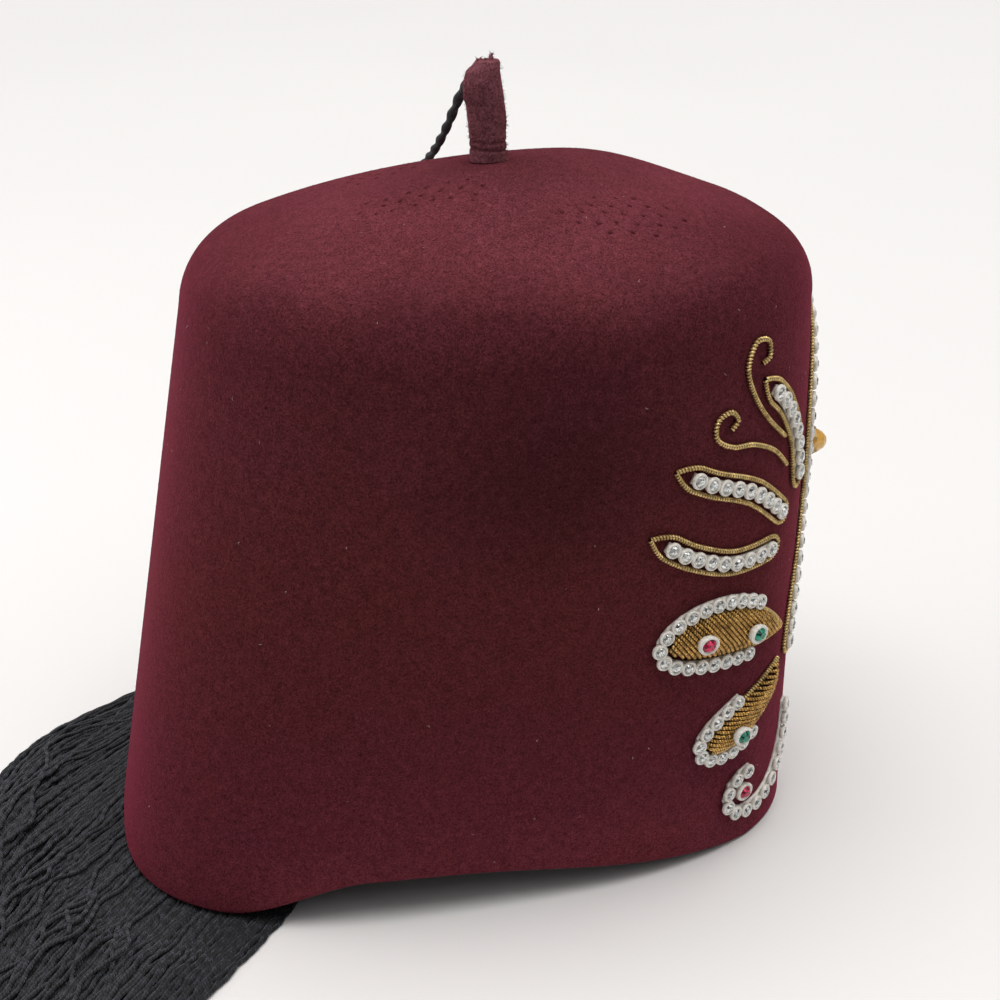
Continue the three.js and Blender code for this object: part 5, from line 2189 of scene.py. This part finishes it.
    def _pad(self, drop: Drop, mirror: int, name: str) -> bpy.types.Object:
        """Makes a padded drop covered with laid bullion.

        Args:
            drop: The drop.
            mirror: 1 on the wearer's right and -1 on the left.
            name: Name of the object.

        Returns:
            The object.
        """
        draft = MeshDraft()
        sides, scales = self.PAD_SIDES, self.PAD_SCALES
        turn = np.arange(sides) / sides
        heights = (0.02, 0.02, 0.5, *(self._pad_height(scale) - 0.35 for scale in scales[3:]))
        rings = [self.front.point(drop.place(turn, 0.0, scale) * [mirror, 1], height)
                 for scale, height in zip(scales, heights)]
        centre = drop.place(np.zeros(1), 0.0, np.zeros(1)) * [mirror, 1]
        ends = np.concatenate([self.front.point(centre, height) for height in (0.02, self.PAD_HEIGHT - 0.35)])
        points = np.concatenate([np.array(rings).reshape(-1, 3), ends])
        quads, fans = ring_faces(len(rings), sides), end_fans(len(rings), sides)
        if mirror < 0:
            quads, fans = quads[:, ::-1], fans[:, ::-1]
        # Shade 0.2 and no UV give the body the darkest groove colour: painted shade between the wires.
        draft.add(points, [quads, fans], shade=0.2)
        self._lay_bullion(draft, drop, mirror)
        return draft.build(name, [self.materials[Finish.BULLION]])

    def _pad_height(self, away: Array | float) -> Array | float:
        """Height of a pad's top by the distance from its middle, from 0 to 1."""
        return self.PAD_HEIGHT * (1 - self.PAD_FALL * away**self.PAD_ROUNDNESS)

    def _lay_bullion(self, draft: MeshDraft, drop: Drop, mirror: int) -> None:
        """Adds the laid bullion wires that cross a pad.

        Args:
            draft: The draft.
            drop: The pad's drop.
            mirror: 1 on the wearer's right and -1 on the left.
        """
        tip, end = np.array(drop.tip, float), np.array(drop.end, float)
        axis = end - tip
        length = np.linalg.norm(axis)
        axis = axis / length
        across = np.array([-axis[1], axis[0]])
        turn = np.linspace(0.0, 0.5, 200)
        outline = drop.place(turn) - tip
        reach = outline @ axis
        upper = outline @ across
        lower = (drop.place(1 - turn) - tip) @ across
        slope, sides = self.WIRE_SLOPE, self.WIRE_SIDES
        pitch = self.WIRE_SPACING * math.hypot(1.0, slope)
        widest = max(np.abs(upper).max(), np.abs(lower).max())
        for x0 in np.arange(-slope * widest, length + slope * widest, pitch):
            y = np.linspace(-widest, widest, 160)
            x = x0 + slope * y
            top, bottom = np.interp(x, reach, upper), np.interp(x, reach, lower)
            keep = (x > 0.1) & (x < length - 0.1) & (y < top) & (y > bottom)
            if keep.sum() < 12:
                continue
            x, y, top, bottom = x[keep], y[keep], top[keep], bottom[keep]
            middle, half_here = (top + bottom) / 2, np.maximum((top - bottom) / 2, 0.1)
            w = (y - middle) / half_here
            over = np.abs(x - length * drop.MIDDLE) / (length * drop.MIDDLE)
            rho = np.clip((np.abs(w) ** 3 + over**5) ** (1 / 3), 0, 1)
            height = self._pad_height(rho) - 0.25
            height = np.where(np.abs(w) > 0.96, height * 0.75, height)
            places = (tip + axis * x[:, None] + across * y[:, None]) * [mirror, 1]
            route = self.front.point(places, height)
            steps = max(8, int(arc_length(route)[-1] / self.WIRE_STEP))
            path = spaced(route, steps)
            path = path + self.rng.normal(0, 0.035, path.shape)
            normals = self.front.frame(spaced(places, steps))[1]
            along = np.arange(steps) / 3.6 + self.rng.random()
            phase = along[:, None] * TAU - turns(sides)[None, :]
            # Random shade for each face: random tone whose bright end serves as painted glints.
            shade = self.rng.uniform(0, 1, (steps + 1) * sides)
            widths = self.WIRE_RADIUS * (0.90 - 0.15 * np.cos(phase))
            sweep(draft, path, widths, sides, normals, shade=shade, along=along)

    # Coloured stones and the boss

    def _cup_stone(self, name: str, place: Sequence[float], base: float, finish: Finish) -> bpy.types.Object:
        """Makes a coloured faceted stone in a white oval cup.

        Args:
            name: Name of the object.
            place: Centre on the front.
            base: Height of the cup's foot above the felt.
            finish: Material of the stone.

        Returns:
            The object.
        """
        foot, normal, up, side = self._upright(place)
        centre = foot + normal * base
        half_length, half_width = self.CUP_SIZE
        count, top = self.CUP_SIDES, self.OVAL_TABLE

        def ring(scale: float, height: float, angles: Array = turns(self.CUP_SIDES)) -> Array:
            """Oval of points about the stone's axis.

            Args:
                scale: Its size, where 1 is the cup's.
                height: Its height above the cup's foot.
                angles: Angles of the points.

            Returns:
                The points.
            """
            return centre + circle(side * half_length, up * half_width, angles) * scale + normal * height

        rings = [ring(scale, height) for scale, height in self.OVAL_PROFILE]
        body = np.concatenate([*rings, (centre - normal * 0.3)[None]])
        draft = MeshDraft()
        draft.add(body, [ring_faces(len(rings), count), fan_faces(0, count, len(body) - 1, True)])
        star = ring(0.52, 2.3, turns(8))
        table = ring(0.36, top, turns(8, 0.5))
        inner = ring(0.18, top, turns(8))
        stone = np.concatenate([rings[-1], star, table, inner, (centre + normal * top)[None]])
        i = np.arange(8)
        b, c, d = 24 + i, 32 + i, 40 + i
        b_after, c_before, d_after = 24 + (i + 1) % 8, 32 + (i - 1) % 8, 40 + (i + 1) % 8
        tip = np.full(8, 48)
        g = [(3 * i + k) % 24 for k in range(4)]
        triangles = np.concatenate([
            np.stack(corners, -1) for corners in (
                (b, g[0], g[1]), (b, g[1], c), (c, g[1], g[2]), (c, g[2], b_after), (b_after, g[2], g[3]),
                (c_before, b, c), (c_before, c, d), (c, d_after, d), (d, d_after, tip),
            )
        ])
        draft.add(stone, [triangles], 1, self._painted_facet_reflections(len(triangles)), smooth=False)
        return draft.build(name, [self.materials[Finish.CUP], self.materials[finish]], weld=0.001)

    def _upright(self, place: Sequence[float]) -> tuple[Array, Array, Array, Array]:
        """Frame of a place on the front.

        Args:
            place: The place.

        Returns:
            The point on the felt, the outward, the upward and the sideways direction.
        """
        points, normals = self.front.frame(np.array([place], float))
        normal = normals[0]
        up = unit(np.array([0.0, 0.0, 1.0]) - normal * normal[2])
        return points[0], normal, up, np.cross(up, normal)

    def _lathe(self, draft: MeshDraft, place: Sequence[float], profile: Sequence[tuple[float, float]],
               count: int, waves: int, depth: float) -> None:
        """Adds a body turned about the axis that stands on a place.

        Args:
            draft: The draft.
            place: The place on the front.
            profile: Pairs of radius and height, from the axis at the bottom to the axis at the top.
            count: Points round the axis.
            waves: Number of lobes round the body.
            depth: Depth of the lobes.
        """
        centre, normal, up, side = self._upright(place)
        turn = turns(count)
        flat = circle(side, up, turn)
        lobes = (1 - depth * (0.5 - 0.5 * np.cos(turn * waves)))[:, None]
        rings = [centre + flat * radius * lobes + normal * height for radius, height in profile[1:-1]]
        ends = np.array([centre + normal * profile[0][1], centre + normal * profile[-1][1]])
        points = np.concatenate([np.array(rings).reshape(-1, 3), ends])
        draft.add(points, [ring_faces(len(rings), count), end_fans(len(rings), count)])

    def _boss_stone(self) -> bpy.types.Object:
        """Makes the lobed amber dome in the middle.

        Returns:
            The object.
        """
        draft = MeshDraft()
        radius, height, foot = self.BOSS_RADIUS, self.BOSS_HEIGHT, 2.2
        slopes = [math.radians(degrees) for degrees in range(0, 88, 8)]
        dome = [(radius * math.cos(slope), foot + (height - foot) * math.sin(slope)) for slope in slopes]
        profile = [(0, 0.1), (radius - 0.3, 0.1), (radius, 0.5), *dome, (0, height)]
        self._lathe(draft, self._boss_place(), profile, 48, waves=8, depth=0.045)
        return draft.build("boss_dome", [self.materials[Finish.AMBER]])

    def _boss_place(self) -> tuple[float, float]:
        """Centre of the amber dome on the front."""
        return 0.0, self.MEDALLION[0]

    def _side_amber(self, mirror: int, name: str) -> bpy.types.Object:
        """Makes a tall faceted amber stone in a gilt collar.

        Args:
            mirror: 1 on the wearer's right and -1 on the left.
            name: Name of the object.

        Returns:
            The object.
        """
        place = (self.SIDE_AMBER[0] * mirror, self.SIDE_AMBER[1])
        centre, normal, up, side = self._upright(place)
        draft = MeshDraft()
        count, levels = self.AMBER_SIDES, self.AMBER_LEVELS
        rings = [centre + circle(side, up, turns(count, shift)) * radius + normal * height
                 for radius, height, shift in levels]
        points = np.concatenate([*rings, [centre + normal * 0.3, centre + normal * 8.15]])
        faces = []
        i = np.arange(count)
        for k in range(len(levels) - 1):
            low, high = k * count, (k + 1) * count
            after = (i + 1) % count
            if levels[k][2] == 0:
                faces += [np.stack([low + i, low + after, high + i], -1),
                          np.stack([low + after, high + after, high + i], -1)]
            else:
                faces += [np.stack([low + i, high + after, high + i], -1),
                          np.stack([low + i, low + after, high + after], -1)]
        triangles = np.concatenate([*faces, end_fans(len(levels), count)])
        draft.add(points, [triangles], 0, self._painted_facet_reflections(len(triangles)), smooth=False)
        self._add_collar(draft, place, self.AMBER_COLLAR, 1)
        return draft.build(name, [self.materials[Finish.AMBER], self.materials[Finish.GILT]])

    def _add_collar(self, draft: MeshDraft, place: Sequence[float], collar: Collar,
                    material: int = 0) -> None:
        """Adds a gilt collar with its claws about the axis that stands on a place.

        Args:
            draft: The draft.
            place: The place on the front.
            collar: The collar.
            material: Material slot.
        """
        centre, normal, up, side = self._upright(place)
        flat = circle(side, up, turns(collar.sides))
        rings = np.array([centre + flat * radius + normal * height for radius, height in collar.profile])
        faces = ring_faces(len(rings), collar.sides, closed=True)
        draft.add(rings.reshape(-1, 3), [faces], material, 0.6)
        widths = np.linspace(*collar.widths, collar.steps)
        for out in circle(side, up, turns(collar.claws, collar.turned)):
            path = np.array([centre + out * radius + normal * height for radius, height in collar.claw])
            sweep(draft, spaced(spline(path, 8), collar.steps), widths, 8, out, material, 0.7)

    def _boss_setting(self) -> bpy.types.Object:
        """Makes the gilt ring round the dome, with its claws and its rope edge.

        Returns:
            The object.
        """
        centre, normal, up, side = self._upright(self._boss_place())
        draft = MeshDraft()
        self._add_collar(draft, self._boss_place(), self.BOSS_COLLAR)
        rope = centre + circle(side, up, turns(96)) * 8.75 + normal * 0.9
        phase = turns(96)[:, None] * 32 - turns(8)[None, :]
        sweep(draft, rope, 0.5 + 0.09 * np.cos(phase), 8, normal, closed=True)
        return draft.build("boss_mount", [self.materials[Finish.GILT]])

    def make(self) -> dict[str, bpy.types.Object]:
        """Makes the whole ornament.

        Returns:
            Each object by the name of the node that it replaces, with the coils under "coils".
        """
        made = {"boss_stone": self._boss_stone(), "boss_setting": self._boss_setting()}
        height, count = self.MEDALLION
        ring_radius = self.PITCH / 2 / math.sin(math.pi / count)
        turn = turns(count, 0.5)
        ring = np.stack([ring_radius * np.sin(turn), height + ring_radius * np.cos(turn)], axis=1)
        made["medallion_stones"] = self._stone_row("medallion_row", ring, True)
        around = np.linspace(0, TAU, 180, endpoint=False)
        outer = np.stack([np.sin(around), np.cos(around)], axis=1) * (ring_radius + 3.0)
        self._coil(outer + [0, height], closed=True)
        made["bud_pad"] = self._pad(self.BUD, 1, "bud_bullion")
        self._coil(self.BUD.place(np.linspace(0, 1, 120, endpoint=False), 0.75), closed=True)
        for side, mirror in (("right", 1), ("left", -1)):
            for name, (number, path) in self.STONE_ROWS.items():
                places = self._spaced_places(path, number, mirror)
                made[f"{name}_{side}"] = self._stone_row(f"{name}_row_{side}", places, False)
                if name.startswith("leaf"):
                    self._leaf_outline(path, mirror)
                elif name.startswith("branch"):
                    self._leaf_outline(path, mirror, 4.0, 3.4)
            for drop in self.PADS:
                made[f"{drop.name}_{side}"] = self._pad(drop, mirror, f"{drop.name}_bullion_{side}")
                name = f"{drop.name}_border"
                parts = np.linspace(drop.border_from, 1 - drop.border_from, 81)
                border = self._spaced_places(drop.place(parts, self.PAD_BORDER_OFFSET), drop.border, mirror)
                made[f"{name}_{side}"] = self._stone_row(f"{name}_row_{side}", border, False)
            drops = {drop.name: drop for drop in self.PADS}
            for name, pad, along, finish in self.PAD_STONES:
                turn_at = math.acos(1 - 2 * along) / TAU
                place = (drops[pad].place(np.array(turn_at)) + drops[pad].place(np.array(1 - turn_at))) / 2
                place, base = place * [mirror, 1], 0.6 + self.PAD_HEIGHT
                made[f"{name}_{side}"] = self._cup_stone(f"{name}_set_{side}", place, base, finish)
            name, place, finish = self.TENDRIL_STONE
            place = np.array(place) * [mirror, 1]
            made[f"{name}_{side}"] = self._cup_stone(f"{name}_set_{side}", place, 0.3, finish)
            made[f"side_amber_{side}"] = self._side_amber(mirror, f"side_amber_set_{side}")
            for scroll in self.SCROLLS:
                self._coil(spline(scroll, 16) * [mirror, 1])
            for drop in self.PADS:
                parts = np.linspace(-drop.border_from, drop.border_from, 60) * 0.96
                self._coil(drop.place(parts, 0.75) * [mirror, 1])
        made["coils"] = self.coils.build("coil_outlines", [self.materials[Finish.COIL]])
        return made


# Camera, floor and light


class Studio:
    """Plain pale floor, soft light and the camera at the photograph's angle."""

    CAMERA_PLACE = (-414.46, 70.18, 292.57)
    CAMERA_AHEAD = (0.88752, -0.18025, -0.42405)
    CAMERA_ROLL = math.radians(-1.2)
    LENS = 55.8
    TARGET = (0.0, -5.0, 95.0)
    BRIGHT_SIDE = (0.42, 0.12, 0.9)
    WORLD_STRENGTH = 0.38
    FLOOR_HALF = 6000.0

    def add_camera(self) -> None:
        """Adds the camera."""
        ahead = Vector(self.CAMERA_AHEAD).normalized()
        right = ahead.cross(Vector((0, 0, 1))).normalized()
        up = right.cross(ahead)
        roll = self.CAMERA_ROLL
        turned_right = right * math.cos(roll) + up * math.sin(roll)
        turned_up = up * math.cos(roll) - right * math.sin(roll)
        camera = bpy.data.cameras.new("camera")
        camera.lens = self.LENS
        camera.sensor_width = 36.0
        camera.clip_start = 0.01
        obj = bpy.data.objects.new("camera", camera)
        place = Vector(self.CAMERA_PLACE) * MM
        obj.matrix_world = Matrix((
            (turned_right.x, turned_up.x, -ahead.x, place.x),
            (turned_right.y, turned_up.y, -ahead.y, place.y),
            (turned_right.z, turned_up.z, -ahead.z, place.z),
            (0, 0, 0, 1),
        ))
        bpy.context.scene.collection.objects.link(obj)
        bpy.context.scene.camera = obj

    def _sun(self, name: str, towards: Sequence[float], strength: float, spread: float,
             colour: Sequence[float] = (1, 1, 1)) -> None:
        """Adds even light from one direction.

        Args:
            name: Name of the light.
            towards: Direction from the hat to the light.
            strength: Strength of the light.
            spread: Angle in degrees that the light covers, for soft shadows.
            colour: Colour of the light.
        """
        light = bpy.data.lights.new(name, "SUN")
        light.energy = strength
        light.angle = math.radians(spread)
        light.color = colour
        obj = bpy.data.objects.new(name, light)
        obj.rotation_euler = Vector(towards).to_track_quat("Z", "Y").to_euler()
        bpy.context.scene.collection.objects.link(obj)

    def _area(self, name: str, place: Sequence[float], size: float, watts: float,
              colour: Sequence[float] = (1, 1, 1)) -> None:
        """Adds a round soft light that faces the hat.

        Args:
            name: Name of the light.
            place: Place of the light.
            size: Width in metres.
            watts: Power of the light.
            colour: Colour of the light.
        """
        light = bpy.data.lights.new(name, "AREA")
        light.shape = "DISK"
        light.size = size
        light.energy = watts
        light.color = colour
        obj = bpy.data.objects.new(name, light)
        obj.location = Vector(place) * MM
        aim = Vector(self.TARGET) * MM - obj.location
        obj.rotation_euler = aim.to_track_quat("-Z", "Y").to_euler()
        bpy.context.scene.collection.objects.link(obj)

    def add_light(self) -> None:
        """Adds pale surroundings that are darker on the near side, and the soft lights."""
        world = bpy.data.worlds.new("studio")
        bpy.context.scene.world = world
        world.use_nodes = True
        sheet = NodeSheet(world.node_tree)
        background = world.node_tree.nodes["Background"]
        ahead = sheet.add("ShaderNodeTexCoord").outputs["Generated"]
        bright_side = Vector(self.BRIGHT_SIDE).normalized()
        facing = sheet.add("ShaderNodeVectorMath", {0: ahead, 1: bright_side}, operation="DOT_PRODUCT")
        level = sheet.math("MULTIPLY_ADD", facing.outputs["Value"], 0.5, 0.5)
        colour = sheet.ramp(level, (0.0, 0.28), (0.45, 0.40), (1.0, (1.0, 0.99, 0.98)))
        world.node_tree.links.new(colour, background.inputs["Color"])
        seen = sheet.add("ShaderNodeLightPath").outputs["Is Camera Ray"]
        strength = sheet.math("MULTIPLY_ADD", seen, 1.0 - self.WORLD_STRENGTH, self.WORLD_STRENGTH)
        world.node_tree.links.new(strength, background.inputs["Strength"])
        self._sun("key", (-0.02, 0.03, 1.0), 2.15, 55, (1.0, 0.99, 0.98))
        self._sun("near_front", (-0.3, -0.45, 1.0), 0.75, 60, (1.0, 0.99, 0.98))
        self._area("window", (150, 900, 700), 0.8, 2.6, (1.0, 0.985, 0.96))
        bpy.context.scene.view_settings.view_transform = "Standard"

    def add_floor(self, materials: Materials) -> None:
        """Adds the floor.

        Args:
            materials: The materials.
        """
        half = self.FLOOR_HALF
        draft = MeshDraft()
        draft.add(np.array([[-half, -half, 0], [half, -half, 0], [half, half, 0], [-half, half, 0]]),
                  [np.array([[0, 1, 2, 3]])])
        floor = draft.build("floor", [materials[Finish.FLOOR]])


# Assembly


@dataclass
class FezHat:
    """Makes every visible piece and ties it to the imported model."""

    frame: dict
    shape: CrownShape = field(default_factory=CrownShape)
    materials: Materials = field(default_factory=Materials)

    @staticmethod
    def _attach(obj: bpy.types.Object, slot: str, *nodes: str) -> None:
        """Lets a piece ride on the body in place of nodes.

        Args:
            obj: The piece.
            slot: The record's material slot; not used.
            *nodes: The nodes that it replaces.
        """
        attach(obj, ROOT)
        if nodes:
            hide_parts(*nodes)

    def make_tassel(self) -> None:
        maker = TasselMaker(self.shape, self.materials)
        cord, head, fringe = maker.make_cord(), maker.make_head(), maker.make_fringe()
        self._attach(cord, "cord", "tassel_cord")
        self._attach(head, "cord", "tassel_head")
        for layer in fringe:
            self._attach(layer, "fringe", "tassel_fringe")

    def make_felt(self) -> None:
        """Makes the crown, its nap and lint, and the stem."""
        maker = CrownMaker(self.shape, self.materials)
        self._attach(maker.make(), "felt", "crown")
        self._attach(maker.make_nap(), "felt")
        self._attach(maker.make_lint(), "felt")
        stem = StemMaker(self.shape, self.materials)
        self._attach(stem.make(), "stem_felt", "stem")
        self._attach(stem.make_frayed_thread(), "stem_felt")

    def make_ornament(self) -> None:
        """Makes the front ornament."""
        slots = {part["node"]: part["material_slot"] for part in self.frame["record"]["subparts"]}
        made = OrnamentMaker(FrontMap(self.shape), self.materials).make()
        self._attach(made.pop("coils"), "bullion")
        for node, obj in made.items():
            self._attach(obj, slots[node], node)


def main() -> None:
    """Builds the scene."""
    logging.basicConfig(level=logging.INFO, format="%(message)s")
    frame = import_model()
    studio = Studio()
    studio.add_camera()
    hat = FezHat(frame)
    hat.make_tassel()
    hat.make_felt()
    hat.make_ornament()
    studio.add_floor(hat.materials)
    studio.add_light()


if __name__ == "__main__":
    main()
